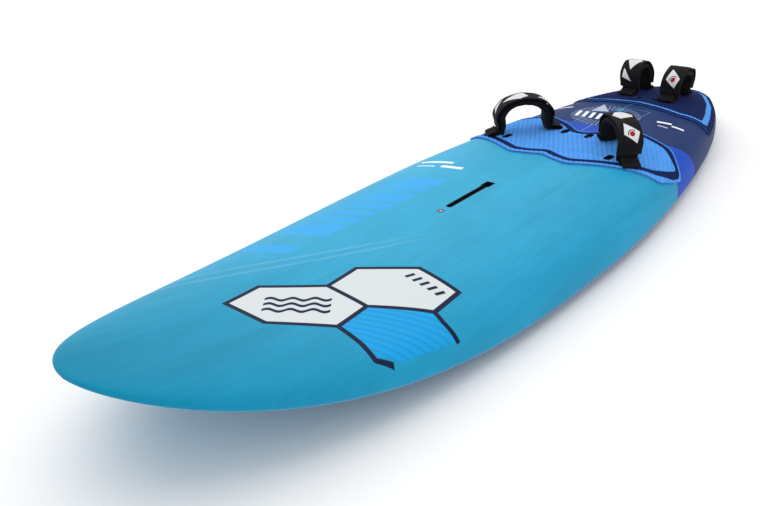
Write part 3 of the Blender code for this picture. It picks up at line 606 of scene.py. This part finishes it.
def slot_rim(look):
    """How far a point lies outside the black plastic rim of the mast slot."""
    middle, straight = (SLOT_REAR + SLOT_FRONT) / 2, SLOT_FRONT - SLOT_REAR - SLOT_WIDTH
    past_end = look.largest([abs(look.x - middle) - straight / 2, 0.0])
    rim = look.length(past_end, look.y) - (SLOT_WIDTH / 2 + 0.0035)
    rear, front = (SLOT_REAR - 0.002, 0.0), (SLOT_REAR + KEYHOLE_LENGTH + 0.004, 0.0)
    return look.smallest([rim, look.bar(rear, front, KEYHOLE_WIDTH + 0.006)])


def deck_look():
    look = Look("deck_paint", roughness=0.5, Specular_IOR_Level=0.12)
    colour = tail_marks(look, aft_paint(look, panels(look, forward_paint(look))))
    behind_slot = look.bar((0.048, -0.038), (0.048, 0.033), 0.0010)
    colour = look.paint(srgb(180, 225, 240), behind_slot, colour, 0.35)
    # painted shade at the bottom of the pads' openings round the spare inserts
    colour = look.paint(PAINTED_WELL_SHADE, insert_wells(look), colour)
    look.colour(look.paint(RIM_BLACK, slot_rim(look), colour))
    grain = look.noise(900.0, 2.0, 0.7)
    look.roughness(grain.between(0.3, 0.7, 0.46, 0.60))
    look.bump(look.noise(240.0), 0.0002, 0.25, look.bump(grain, 0.00012, 0.55))
    return look.material


def insert_wells(look):
    """How far a point lies outside the wells round the spare inserts, at the bottom of the pads' openings,
    where shade is painted.
    """
    wells = []
    for node in NODES:
        if node.endswith("_spare_insert"):
            low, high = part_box(node)
            y = middle_of(node)[1]
            wells.append(look.bar((low[0] - 0.004, y), (high[0] + 0.004, y), high[1] - low[1] + 0.008))
    return look.smallest(wells)


def tail_marks(look, colour):
    """A plain ruled frame, a ring of rays, a pale triangle and short bars between the pads."""
    teal, pale = srgb(70, 165, 190), srgb(150, 176, 214)
    dx, dy = look.x + 0.555, look.y + 0.020
    radius = look.length(dx, dy)
    rays = look.wave(look.maths("ARCTAN2", dy, dx), TAU / 44).between(0.35, 0.85)
    ring = radius.between(0.056, 0.058) * radius.between(0.101, 0.099)
    colour = look.mix(rays * ring * 0.70, colour, pale)
    ruled = look.polygon([(-0.660, -0.070), (-0.460, -0.070), (-0.460, 0.070), (-0.660, 0.070)])
    colour = look.paint(teal, abs(ruled) - 0.0008, colour)
    bars = [((-0.618, -0.012), (-0.646, -0.010), 0.010), ((-0.652, -0.011), (-0.722, -0.011), 0.0016)]
    colour = look.strokes(teal, bars, colour)
    colour = look.strokes(pale, [((-0.460, -0.010), (-0.385, -0.010), 0.0016)], colour)
    triangle = look.polygon([(-0.662, -0.078), (-0.596, -0.030), (-0.577, -0.077)])
    colour = look.paint(srgb(176, 184, 206), triangle, colour)
    bars = [((-0.512, -0.092 + 0.022 * k), (-0.566, -0.104 + 0.022 * k), 0.010) for k in range(4)]
    return look.strokes(WHITE_MARK, bars + WHITE_STROKES, colour)


def bottom_look():
    look = Look("bottom_paint", roughness=0.2, Coat_Weight=0.4)
    base = look.mix(look.x.between(-0.6, 0.9), srgb(40, 78, 150), srgb(30, 146, 188))
    look.colour(streaked(look, base, 0.08))
    look.bump(look.noise(60.0, 3.0), 0.0002, 0.15)
    return look.material


def foam_look(name, colour):
    """Closed-cell foam sheet: fine pores, slightly uneven colour, and shade in the grooves."""
    look = Look(name, roughness=0.85, Specular_IOR_Level=0.07)
    pores = look.noise(1400.0, 2.0, 0.8)
    tone = look.toned(colour, look.noise(26.0, 3.0, 0.6).between(0.3, 0.7, 0.92, 1.05))
    heading = (math.cos(GROOVE_ANGLE), math.sin(GROOVE_ANGLE))
    for end, pitch, shade in ((heading, GROOVE_PITCH, 0.80), ((-heading[1], heading[0]), CROSS_PITCH, 0.90)):
        off = look.maths("PINGPONG", look.beyond((0, 0), end), pitch / 2)
        tone = look.toned(tone, off.between(0.0005, 0.0018, shade, 1.0))
    look.colour(look.toned(tone, pores.between(0.3, 0.7, 0.88, 1.10)))
    look.roughness(pores.between(0.3, 0.7, 0.74, 0.92))
    look.bump(pores, 0.00025, 0.5)
    return look.material


def cloth_look(name, colour, patches=False):
    """Black stretch cloth over foam, with a fine knit. A cover has white patches and a plain round mark."""
    look = Look(name, roughness=0.85, space="UV", Specular_IOR_Level=0.12, Sheen_Weight=0.03)
    shade = look.blotched(look.noise(60.0, 3.0, 0.6).between(0.3, 0.7, 0.0, 0.6), colour, 1.7, 0.002)
    if patches:
        for corners in PATCHES:
            shade = look.paint(srgb(224, 224, 226), look.polygon(corners), shade)
        du, dv = look.x - EMBLEM[0], look.y - EMBLEM[1]
        radius = look.length(du, dv)
        upper_half = 0.002 - (du + dv * 0.6)
        arc = look.largest([abs(radius - 0.0100) - 0.0013, upper_half])
        shade = look.paint(srgb(24, 22, 26), arc, shade)
        shade = look.paint(srgb(176, 24, 38), radius - 0.0066, shade)
    look.colour(shade)
    look.bump((look.wave(look.y, 0.0011) + 1.0) * (look.wave(look.x, 0.0014) + 1.0), 0.00012, 0.6)
    return look.material


def webbing_look():
    """Woven strap: ribs along it, and rows of weft across it."""
    look = Look("black_webbing", roughness=0.78, space="UV", Specular_IOR_Level=0.15)
    weft = abs(look.maths("SINE", look.x * (TAU / 0.0040) + look.y * (TAU / 0.0096)))
    weave = abs(look.wave(look.y, 0.0048)) * (weft * 0.6 + 0.4)
    look.colour(look.mix(weave, srgb(5, 5, 6), srgb(22, 21, 25)))
    look.bump(weave, 0.0005, 0.7)
    return look.material


def plastic_look(name, colour, roughness):
    look = Look(name, roughness=roughness, Specular_IOR_Level=0.25)
    grain = look.noise(700.0, 2.0, 0.6)
    look.colour(look.blotched(look.noise(40.0, 3.0).between(0.35, 0.65, 0.0, 0.25), colour, 1.5, 0.004))
    look.roughness(grain.between(0.3, 0.7, roughness - 0.06, roughness + 0.12))
    look.bump(grain, 0.0001, 0.4)
    return look.material


def metal_look(name, colour, roughness):
    """Turned or rolled metal with fine brushing and a few dull spots."""
    look = Look(name, roughness=roughness, metallic=1.0)
    brush = look.noise(500.0, 3.0, 0.6, (1.0, 9.0, 1.0))
    look.colour(look.blotched(look.noise(180.0, 3.0, 0.7).between(0.45, 0.7, 0.0, 0.45), colour, 0.45))
    look.roughness(brush.between(0.3, 0.7, roughness - 0.08, roughness + 0.16))
    look.bump(brush, 0.00006, 0.4)
    return look.material


def bead_foam_look(name, colour, size, wells=False):
    """Foam of fused beads. With wells, painted shade darkens the foam round the spare inserts."""
    look = Look(name, roughness=0.85)
    cells = look.node("ShaderNodeTexVoronoi", {"Vector": look.where, "Scale": 1 / size})
    tone = look.blotched(cells.between(0.0, 0.6, 0.0, 0.25), colour, 0.8)
    # with wells, painted shade round the spare inserts
    look.colour(look.paint(PAINTED_WELL_SHADE, insert_wells(look), tone) if wells else tone)
    look.bump(cells, 0.0006, -0.5)
    return look.material


# ---------------------------------------------------------------- hull skins
SKIN_STATIONS, HALF_STEPS, CROWDING = 260, 34, 1.35
DECK_CUT, BOTTOM_CUT = (0.09, 0.2), (-0.02, 0.014)  # the levels between which openings go through


def build_skin(name, upper, finish):
    """The deck's or the bottom's laminate as a closed shell of 3 mm."""
    steps = np.arange(HALF_STEPS + 1) / HALF_STEPS
    port = np.cos(math.pi / 2 * steps**CROWDING)
    shares = np.concatenate([port, -port[-2::-1]])
    turn = np.cos(math.pi * np.arange(SKIN_STATIONS + 1) / SKIN_STATIONS)
    points = []
    for reach, inset in ((LENGTH / 2 - 2e-5, 0.0), (LENGTH / 2 - TIP_SOLID, SKIN)):
        x = -reach * turn
        half_width, bottom, thickness = hull_at(x)
        half_width, bottom, thickness = half_width - inset, bottom + inset, thickness - 2 * inset
        rail = bottom + RAIL_HEIGHT * thickness + (0.00005 if upper else 0.0)
        rise = ((1 - RAIL_HEIGHT) if upper else -RAIL_HEIGHT) * thickness
        y = half_width[:, None] * shares
        z = rail[:, None] + rise[:, None] * section_height(shares)
        points.append(np.stack([np.broadcast_to(x[:, None], y.shape), y, z], -1).reshape(-1, 3))
    rows, columns = SKIN_STATIONS + 1, len(shares)
    count = rows * columns
    layers = grid_faces(rows, columns) + grid_faces(rows, columns, count)
    index = np.arange(count).reshape(rows, columns)
    # once round the edge of the sheet, from which the rim joins the two layers
    border = np.concatenate([index[0, :-1], index[:-1, -1], index[-1, :0:-1], index[:0:-1, 0]]).tolist()
    rim = [(a, b, b + count, a + count) for a, b in zip(border, border[1:] + border[:1])]
    return make_object(name, np.concatenate(points), layers + rim, finish, 60, merge=True)


def build_hull():
    deck = build_skin("deck_skin", True, deck_look())
    middle, length = (SLOT_FRONT + SLOT_REAR) / 2, SLOT_FRONT - SLOT_REAR
    slot = slot_with_window(middle, length, SLOT_WIDTH, SLOT_REAR, KEYHOLE_LENGTH, KEYHOLE_WIDTH)
    low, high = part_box("vent_insert")
    outlines = [grown(slot, CUT_MARGIN), circle(*middle_of("vent_insert"), (high[0] - low[0]) / 2 + GAP)]
    inserts = [name for name in NODES if name.endswith("_insert") and name != "vent_insert"]
    outlines += [around_box(name, 2 * GAP) for name in inserts]
    cut(deck, outlines, *DECK_CUT)
    bottom = build_skin("bottom_skin", False, bottom_look())
    mouth = slot_with_window(FIN_BOX_X, FIN_SLOT_LENGTH, FIN_SLOT_WIDTH, FIN_ENTRY_REAR, FIN_ENTRY, FIN_ENTRY)
    cut(bottom, [grown(mouth, CUT_MARGIN)], *BOTTOM_CUT)
    for side, skin in (("deck", deck), ("bottom", bottom)):
        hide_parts(f"{side}_shell")
        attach(skin, "hull")


# ---------------------------------------------------------------- deck pads
def groove_axes(points):
    along = points[:, 0] * math.cos(GROOVE_ANGLE) + points[:, 1] * math.sin(GROOVE_ANGLE)
    across = -points[:, 0] * math.sin(GROOVE_ANGLE) + points[:, 1] * math.cos(GROOVE_ANGLE)
    return along, across


def groove_drop(points):
    """How far the grooves cut down at each point."""
    along, across = groove_axes(points)
    drop = np.zeros(len(points))
    for value, pitch, depth in ((across, GROOVE_PITCH, GROOVE_DEPTH), (along, CROSS_PITCH, CROSS_DEPTH)):
        off = np.abs((value + pitch / 2) % pitch - pitch / 2)
        drop = np.maximum(drop, depth * np.clip(1 - off / GROOVE_HALF, 0, 1))
    return drop


def groove_grid(low, high):
    """Points on a grid turned to the grooves, close together at each one."""
    centre = (np.array(low) + high) / 2
    reach = float(np.linalg.norm(np.array(high) - low)) / 2
    mid_along, mid_across = (float(v[0]) for v in groove_axes(centre[None]))
    lines = []
    for middle, pitch in ((mid_along, CROSS_PITCH), (mid_across, GROOVE_PITCH)):
        offsets = [-GROOVE_HALF, 0.0, GROOVE_HALF, pitch * 0.38, pitch * 0.62]
        first, last = math.floor((middle - reach) / pitch), math.ceil((middle + reach) / pitch)
        lines.append(np.array(sorted(k * pitch + o for k in range(first, last + 1) for o in offsets)))
    along, across = np.meshgrid(*lines)
    along, across = along.ravel(), across.ravel()
    x = along * math.cos(GROOVE_ANGLE) - across * math.sin(GROOVE_ANGLE)
    y = along * math.sin(GROOVE_ANGLE) + across * math.cos(GROOVE_ANGLE)
    return np.stack([x, y], -1)


def plain_grid(low, high, step):
    x, y = np.meshgrid(np.arange(low[0], high[0], step), np.arange(low[1], high[1], step))
    return np.stack([x.ravel(), y.ravel()], -1)


def on_sheet(points, edges):
    """Which points lie inside the first ring and outside the others, which are holes."""
    return inside(points, edges[0]) & ~np.any([inside(points, ring) for ring in edges[1:]], 0)


def to_edge(points, edges):
    return np.min([distance_to(points, ring) for ring in edges], 0)


def foam_sheet(name, outline, holes, lift, thickness, grooved, finishes):
    """A foam sheet on the deck, its top edges a little round. Finishes: top, holes' walls, outer wall."""
    edges = [resampled(ring, EDGE_STEP) for ring in [outline] + holes]
    shoulders = [grown(edges[0], -EDGE_ROUND)] + [grown(ring, EDGE_ROUND) for ring in edges[1:]]
    low, high = np.min(edges[0], 0), np.max(edges[0], 0)
    grid = groove_grid(low, high) if grooved else plain_grid(low, high, PLAIN_STEP)
    grid = grid[on_sheet(grid, edges)]
    grid = grid[to_edge(grid, edges) > EDGE_ROUND * 1.8]
    flat, lines, start = [], [], 0
    for ring in edges + shoulders:
        flat += [Vector(p) for p in ring]
        lines += [(start + i, start + (i + 1) % len(ring)) for i in range(len(ring))]
        start += len(ring)
    flat += [Vector(p) for p in grid]
    found, _, faces, _, _, _ = delaunay_2d_cdt(flat, lines, [], 0, 1e-7)
    plan = np.array([tuple(p) for p in found])
    middles = np.array([plan[list(face)].mean(0) for face in faces])
    faces = [tuple(face) for face, good in zip(faces, on_sheet(middles, edges)) if good]
    drop = np.where(to_edge(plan, edges) < EDGE_ROUND / 2, EDGE_ROUND, 0.0)
    if grooved:
        drop = np.maximum(drop, groove_drop(plan))
    top = deck_points(plan[:, 0], plan[:, 1], lift + thickness - drop)
    under = deck_points(plan[:, 0], plan[:, 1], np.full(len(plan), lift))
    count = len(plan)
    sides = dict.fromkeys(side for face in faces for side in zip(face, face[1:] + face[:1]))
    walls = [(b, a, a + count, b + count) for a, b in sides if (b, a) not in sides]
    rim = distance_to(plan, edges[0])
    lower = [tuple(v + count for v in face) for face in faces]
    obj = make_object(name, np.concatenate([top, under]), faces + lower + walls, finishes[0], 35)
    for finish in finishes[1:]:
        obj.data.materials.append(finish)
    for polygon, (b, a, _, _) in zip(list(obj.data.polygons)[-len(walls):], walls):
        polygon.material_index = 1 if min(rim[a], rim[b]) > 1e-5 else 2
    return obj


def build_pad(name, line, base, top, dark, holes):
    """A pad of three sheets: a base, and a field and a margin on it with the groove between them."""
    front = name == "front_pad"
    groove = FRONT_GROOVE if front else REAR_GROOVE
    stand_off = np.array(FRONT_PAD_EDGE) if front else np.full(len(line), groove / 2 + REAR_MARGIN)
    inset = np.full(len(line), -groove / 2)
    if front:
        inset[FIELD_CORNER] += FIELD_CORNER_REACH
    outline = mirrored_outline(line)
    edge, field = (rounded(grown(outline, np.concatenate([off, off[-2:0:-1]]))) for off in (stand_off, inset))
    inner = grown(rounded(outline), groove / 2)
    # the walls of the base's and the field's openings take dark, which is painted shade
    for part, shape, openings, lift, thickness, finish, hole_finish in (
        ("base", edge, holes, PAD_LIFT, PAD_BASE, base, dark),
        ("field", field, holes, TOP_LIFT, PAD_TOP, top, dark),
        ("margin", edge, [inner], TOP_LIFT, PAD_TOP, top, top),
    ):
        finishes = (finish, hole_finish, top)
        obj = foam_sheet(f"{name}_{part}_foam", shape, openings, lift, thickness, part != "base", finishes)
        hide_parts(f"{name}_{part}")
        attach(obj, "hull")


def build_pads():
    sky = foam_look("sky_foam_sheet", srgb(84, 158, 242))
    navy = foam_look("navy_foam_sheet", srgb(20, 34, 84))
    # painted shade on the walls of the pads' openings
    dark = foam_look("painted_shade_hole_wall", srgb(14, 18, 36))
    pads = (("front_pad", FRONT_PAD_LINE, navy, sky), ("rear_pad", REAR_PAD_LINE, sky, navy))
    for name, line, base, top in pads:
        own = [node for node in NODES if node.startswith(name.split("_")[0])]
        holes = [around_box(node, CUTOUT_MARGIN) for node in own if node.endswith("_spare_insert")]
        holes += [circle(*middle_of(node), SCREW_HOLE, 16) for node in own if node.endswith("_screw")]
        build_pad(name, line, base, top, dark, holes)


# ---------------------------------------------------------------- foot straps
def node_points(name):
    mesh = NODES[name].data
    points = np.empty(len(mesh.vertices) * 3)
    mesh.vertices.foreach_get("co", points)
    return points.reshape(-1, 3)


class Strap:
    """A strap's own axes, mid-span on the pad, and its soft shape."""

    def __init__(self, prefix):
        shape = SOFT_SHAPES[prefix]
        self.height, self.sag, self.sag_at, self.phase, place, lean, squeeze, turn, self.plump = shape
        self.body = f"{prefix}_strap"
        # the cover's round mark is at the first leg where this is 1
        self.sense = -1 if "starboard" in prefix else 1
        joint = next(j for j in frame["joints"] if j["child"] == self.body)
        along = Vector(joint["axis"]).normalized()
        across = Vector((0, 0, 1)).cross(along).normalized()
        self.up = np.array(along.cross(across))
        origin = np.array(joint["pos_m"]) - self.up * LEAN_AXIS_HEIGHT
        reach = (node_points(f"{prefix}_strap_webbing") - origin) @ np.array(along)
        self.half = ((reach.max() - reach.min()) / 2 - WEBBING / 2) * squeeze
        self.origin = origin + np.array([*place, 0.0])
        self.lean = np.array([*lean, 0.0])
        plan = Matrix.Rotation(math.radians(turn), 3, "Z")
        self.along, self.across = np.array(plan @ along), np.array(plan @ across)

    def at(self, reach, across, height):
        reach, across, height = (np.asarray(v, float)[..., None] for v in (reach, across, height))
        lean = self.lean * np.clip((height - LEAN_START) / (self.height - LEAN_START), 0, None) ** 1.3
        return self.origin + self.along * reach + self.across * across + self.up * height + lean

    def finish(self, obj, slot, node=None, fill=None, bends=True):
        """Hides the node that a piece takes the place of; with bends, bakes the piece's place into its
        points, and without, hangs it on the hull.
        """
        if node:
            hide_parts(node)
        if bends:
            low, high = (tuple(map(float, self.at(0, 0, height))) for height in BLEND_HEIGHTS)
            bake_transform(obj)
            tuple(low)
            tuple(high)
        else:
            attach(obj, "hull")


class Path:
    """A line in a strap's own plane, as (reach, height), with its outward normals and the run along it."""

    def __init__(self, strap, line, normal, run):
        self.strap, self.line, self.normal, self.run = strap, line, normal, run

    def stitch(self, value, across, lift, direction=None):
        """A stitch's middle, its direction, which is along the line unless given, and its outward normal."""
        strap = self.strap
        columns = np.hstack([self.line, self.normal]).T
        x, z, nx, nz = (np.interp(value, self.run, column) for column in columns)
        if direction is None:
            direction = strap.along * nz - strap.up * nx
        return strap.at(x + nx * lift, across, z + nz * lift), direction, strap.along * nx + strap.up * nz

    def sweep(self, name, section, finish):
        """A closed band along the line. section(run) gives each ring, with as many (across, out) pairs."""
        points, uvs = [], []
        rings = [section(value) for value in self.run]
        columns, sense = len(rings[0]), self.strap.sense
        for (x, z), (nx, nz), value, ring in zip(self.line, self.normal, self.run, rings):
            ring = np.array(ring)
            points.append(self.strap.at(x + nx * ring[:, 1], ring[:, 0], z + nz * ring[:, 1]))
            uvs += [(value * sense, across * sense) for across in ring[:, 0]]
        obj = make_object(name, np.concatenate(points), tube_faces(len(rings), columns), finish, 50)
        layer = obj.data.uv_layers.new(name="UVMap")
        for loop in obj.data.loops:
            layer.data[loop.index].uv = uvs[loop.vertex_index]
        return obj


def leg_shift(height):
    """How far a leg stands out from its upright: drawn in at the foot, and full at the shoulder."""
    full = 0.0030 * np.exp(-(((height - 0.054) / 0.020) ** 2))
    return full - 0.0022 * np.clip(1 - height / STRAP_LEG_HEIGHT, 0, 1)


def loop_path(strap, start, steps=72, leg_steps=11):
    """The path up the first leg, over, and down the other. Its run is measured from the crest."""
    rise = strap.height - COVER_LIFT - COVER - STRAP_LEG_HEIGHT
    leg = np.linspace(start, STRAP_LEG_HEIGHT, leg_steps + 1)[:-1]
    turn = np.linspace(0, math.pi, steps)
    share = np.concatenate([np.full(leg_steps, -1.0), -np.cos(turn), np.full(leg_steps, 1.0)])
    z = np.concatenate([leg, STRAP_LEG_HEIGHT + rise * np.sin(turn), leg[::-1]])
    x = share * (strap.half + leg_shift(z))
    z = z - strap.sag * np.clip(1 - ((share - strap.sag_at) / 0.5) ** 2, 0, 1) ** 2
    line = np.stack([x, z], -1)
    tangent, run = slopes(line), run_along(line)
    return Path(strap, line, np.stack([-tangent[:, 1], tangent[:, 0]], -1), run - run[-1] / 2)


def band_ring(width, inner, outer, crown=0.0, power=3.0, count=32):
    """A flat band's ring with round edges, and a crown on its inner side."""
    ring = []
    for i in range(count):
        turn = TAU * i / count
        c, s = math.cos(turn), math.sin(turn)
        across = width / 2 * math.copysign(abs(c) ** (2 / power * 0.8), c)
        out = math.copysign(abs(s) ** (2 / power), s)
        middle, half = (inner + outer) / 2, (outer - inner) / 2
        height = middle + half * out
        if out < 0:
            height -= crown * (1 - (2 * across / width) ** 2)
        ring.append((across, height))
    return ring


def stitches(name, spots, finish):
    """Thread stitches as small capsules. Each spot is a middle, a direction and an outward normal."""
    points, faces = [], []
    half, thick, sides = 0.0014, 0.00032, 6
    profile = ((-1.0, 0.25), (-0.7, 0.9), (0.0, 1.0), (0.7, 0.9), (1.0, 0.25))
    turns = [TAU * i / sides for i in range(sides)]
    for middle, direction, out in spots:
        side = np.cross(direction, out)
        faces += tube_faces(len(profile), sides, len(points))
        for step, size in profile:
            ring = [(side * math.cos(turn) + out * math.sin(turn) * 0.8) * thick * size for turn in turns]
            points += [middle + direction * half * step + off for off in ring]
    return make_object(name, np.array(points), faces, finish, 80)


def build_strap(prefix, looks):
    strap = Strap(prefix)
    phase = strap.phase
    path = loop_path(strap, 0.004)
    end = path.run[-1]
    face = WEBBING / 2 + GAP  # how far the pad's outer face lies inside the webbing's middle

    def pad_ring(value):
        taper = min(1.0, 0.62 + (end - abs(value)) / 0.050)
        fold = 0.00045 * math.sin(value / 0.0042 + phase) * max(0.0, 1 - abs(value) / 0.09)
        soft = 0.0008 * math.sin(value / 0.021 + phase * 2)
        width = LOOP_PAD_WIDTH * (0.93 + 0.07 * taper) + 0.0012 * math.sin(value / 0.017 + phase)
        plump = 1 + strap.plump * math.exp(-(((abs(value) - 0.088) / 0.034) ** 2))
        inner = soft + fold - face - (LOOP_PAD - 0.0014) * taper * plump
        return band_ring(width, inner, -face, 0.0018 * taper, 2.9, 40)

    sleeve_path = loop_path(strap, COVER_START)
    last = sleeve_path.run[-1]

    def cover_out(value, across):
        """How far the cover's inner face stands off the webbing's middle."""
        share = abs(2 * across / COVER_WIDTH)
        slack = 0.0016 * math.exp(-((abs(value) - 0.062) / 0.030) ** 2)
        pucker = 0.0004 * math.sin(value / 0.0075 + phase) * share**2
        flare = 0.0008 * math.exp(-(last - abs(value)) / 0.006)
        return COVER_LIFT - COVER_THINNED + slack + pucker + flare - 0.0016 * share**4

    def cover_ring(value):
        half = COVER_WIDTH / 2 + 0.0007 * math.sin(value / 0.023 + phase)
        outer, inner = [], []
        for i in range(COVER_STEPS + 1):
            across = half * math.cos(math.pi * i / COVER_STEPS)
            at_edge = i in (0, COVER_STEPS)
            binding = 0.0005 if abs(across) > half - 0.0045 else 0.0
            off = cover_out(value, across)
            outer.append((across, off + (COVER - COVER_THINNED + binding) * (0.45 if at_edge else 1.0)))
            inner.append((across * 0.998, off + COVER * (0.25 if at_edge else 0.0)))
        return outer + inner[::-1]

    def stitch(value, across, direction=None):
        lift = cover_out(value, across) + COVER - COVER_THINNED
        return sleeve_path.stitch(value, across, lift, direction)

    def web_ring(_):
        return band_ring(WEBBING_WIDTH, -WEBBING / 2, WEBBING / 2, 0, 6)

    for way, part, ring, look, slot, node, fill in (
        (path, "web", web_ring, "webbing", "black_webbing", "webbing", None),
        (path, "padding", pad_ring, "neoprene", "black_neoprene", "pad", 0.95),
        (sleeve_path, "sleeve", cover_ring, "cover", "black_neoprene", "cover", 0.7),
    ):
        band = way.sweep(f"{prefix}_strap_{part}", ring, looks[look])
        strap.finish(band, slot, f"{prefix}_strap_{node}", fill)

    seam = COVER_WIDTH / 2 - 0.0058
    sides = np.arange(-last + 0.004, last - 0.003, STITCH_PITCH)
    spots = [stitch(value, across) for value in sides for across in (-seam, seam)]
    for value in (-last + 0.006, -last + 0.010, last - 0.006, last - 0.010):
        spots += [stitch(value, across, strap.across) for across in np.arange(-0.026, 0.0261, STITCH_PITCH)]
    strap.finish(stitches(f"{prefix}_strap_stitching", spots, looks["thread"]), "black_neoprene")
    return strap


def smooth_path(corners, radius=0.003, steps=6):
    """A line through corners in the plane, with each inner corner made round."""
    found = [np.array(corners[0], float)]
    for before, corner, after in zip(corners, corners[1:], corners[2:]):
        before, corner, after = (np.array(p, float) for p in (before, corner, after))
        a, b = before - corner, after - corner
        reach = min(radius, np.linalg.norm(a) * 0.45, np.linalg.norm(b) * 0.45)
        a, b = corner + a / np.linalg.norm(a) * reach, corner + b / np.linalg.norm(b) * reach
        for i in range(steps + 1):
            t = i / steps
            found.append((1 - t) ** 2 * a + 2 * t * (1 - t) * corner + t * t * b)
    found.append(np.array(corners[-1], float))
    line = [found[0]]
    for point in found[1:]:
        gap = np.linalg.norm(point - line[-1])
        for i in range(1, max(1, int(gap / 0.004)) + 1):
            line.append(line[-1] + (point - line[-1]) * (1 if i == max(1, int(gap / 0.004)) else 0.004 / gap))
            gap = np.linalg.norm(point - line[-1])
            if gap < 1e-6:
                break
    return np.array(line)


def build_foot(strap, end, name, node, looks):
    """A webbing foot: a tongue down the leg, a tab over the pad, and a flap folded back over the screw."""
    def over_pad(reach, lift):
        """A corner of the path, lifted from the pad's surface."""
        spot = strap.at(end * (strap.half + reach), 0, 0)
        return reach, float(deck_height(spot[0], spot[1])) + PAD_SURFACE - spot[2] + lift

    mid, far, thick = WEBBING + GAP, 0.0315, FOOT_WEBBING / 2
    folded = [over_pad(mid, 0.0136), over_pad(mid, 0.0172)]
    corners = [
        (mid + float(leg_shift(0.038)), 0.038), (mid + float(leg_shift(0.02)), 0.020),
        (mid - 0.001, over_pad(mid, 0.0045)[1]), over_pad(mid + 0.006, thick + 0.0002),
        over_pad(far - 0.003, thick + 0.0002), (far + 0.0015, over_pad(far, 0.0048)[1]),
        (far - 0.003, over_pad(far, 0.0094)[1]), over_pad(mid + 0.014, 0.0112),
        (mid + 0.0060, folded[0][1]), (mid + 0.0040, folded[1][1]),
    ]
    path = smooth_path(corners, 0.0028)
    tangent, run = slopes(path), run_along(path)
    line = np.stack([end * (strap.half + path[:, 0]), path[:, 1]], -1)
    path = Path(strap, line, np.stack([end * tangent[:, 1], -tangent[:, 0]], -1), run)
    total = run[-1]

    def ring(value):
        width = WEBBING_WIDTH - 0.004 * max(0.0, 1 - (total - value) / 0.004)
        half = WEBBING / 2 + (thick - WEBBING / 2) * min(1.0, max(0.0, (value - 0.016) / 0.012)) - 0.0001
        return band_ring(width, -half, half, 0, 6, 28)

    foot = path.sweep(name, ring, looks["webbing"])
    strap.finish(foot, "black_webbing", node, bends=False)
    spots = [
        path.stitch(value, across, thick, strap.across)
        for value in (total - 0.007, total - 0.022) for across in np.arange(-0.021, 0.0211, STITCH_PITCH)
    ]
    strap.finish(stitches(name + "_stitching", spots, looks["thread"]), "black_webbing", bends=False)


def build_straps():
    looks = {
        "webbing": webbing_look(),
        "neoprene": cloth_look("black_neoprene", srgb(13, 12, 14)),
        "cover": cloth_look("black_neoprene_cover", srgb(17, 16, 18), patches=True),
        "thread": plastic_look("grey_thread", srgb(44, 44, 48), 0.7),
    }
    for prefix in ("front_port", "front_starboard", "rear_port", "rear_starboard"):
        strap = build_strap(prefix, looks)
        legs = ("outer", "inner") if prefix.startswith("front") else ("fore", "aft")
        for end, leg in zip((-1, 1), legs):
            build_foot(strap, end, f"{prefix}_{leg}_webbing_foot", f"{prefix}_{leg}_foot", looks)


# ---------------------------------------------------------------- solids that stay
def dress_solids():
    black = plastic_look("black_plastic", srgb(24, 24, 26), 0.48)
    steel = metal_look("blackened_steel", srgb(46, 46, 49), 0.36)
    looks = {
        "foam_core": bead_foam_look("eps_foam", srgb(238, 240, 238), 0.004, wells=True),
        "mast_track_block": bead_foam_look("pvc_foam", srgb(206, 194, 142), 0.001),
        "mast_track_box": black,
        "fin_box": black,
        "vent_insert": plastic_look("vent_plastic", srgb(30, 44, 60), 0.45),
        "vent_washer": plastic_look("white_washer", srgb(232, 232, 228), 0.4),
        "vent_screw": metal_look("worn_brass", srgb(236, 190, 170), 0.35),
        "fin_nut_plate": metal_look("stainless_steel", srgb(186, 186, 190), 0.28),
    }
    for name, obj in NODES.items():
        if obj.hide_render:
            continue
        finish = looks.get(name) or (steel if name.endswith("_screw") else black)
        obj.data.materials.clear()
        obj.data.materials.append(finish)


# ---------------------------------------------------------------- studio
def build_studio():
    look = Look("studio_floor", roughness=0.6)
    look.colour((0.93, 0.93, 0.93))
    mesh = bpy.data.meshes.new("studio_floor")
    size = 60.0
    corners = [(x * size, y * size, 0) for x, y in ((-1, -1), (1, -1), (1, 1), (-1, 1))]
    mesh.from_pydata(corners, [], [(0, 1, 2, 3)])
    mesh.materials.append(look.material)
    floor = bpy.data.objects.new("studio_floor", mesh)
    bpy.context.scene.collection.objects.link(floor)
    floor.location.z = CAD_BOUNDS[0][2] - 0.0002

    world = bpy.data.worlds.new("studio")
    world.use_nodes = True
    world.node_tree.nodes["Background"].inputs["Color"].default_value = (1, 1, 1, 1)
    world.node_tree.nodes["Background"].inputs["Strength"].default_value = 0.72
    bpy.context.scene.world = world
    lights = (("key", (-0.30, -0.35, 1.0), 1.15, 80), ("fill", (0.5, 0.7, 0.8), 0.45, 100))
    for name, direction, strength, angle in lights:
        data = bpy.data.lights.new(name, "SUN")
        data.energy = strength
        data.angle = math.radians(angle)
        lamp = bpy.data.objects.new(name, data)
        bpy.context.scene.collection.objects.link(lamp)
        lamp.rotation_euler = Vector(direction).to_track_quat("Z", "Y").to_euler()
    bpy.context.scene.view_settings.view_transform = "Standard"


make_camera()
build_hull()
build_pads()
build_straps()
dress_solids()
build_studio()
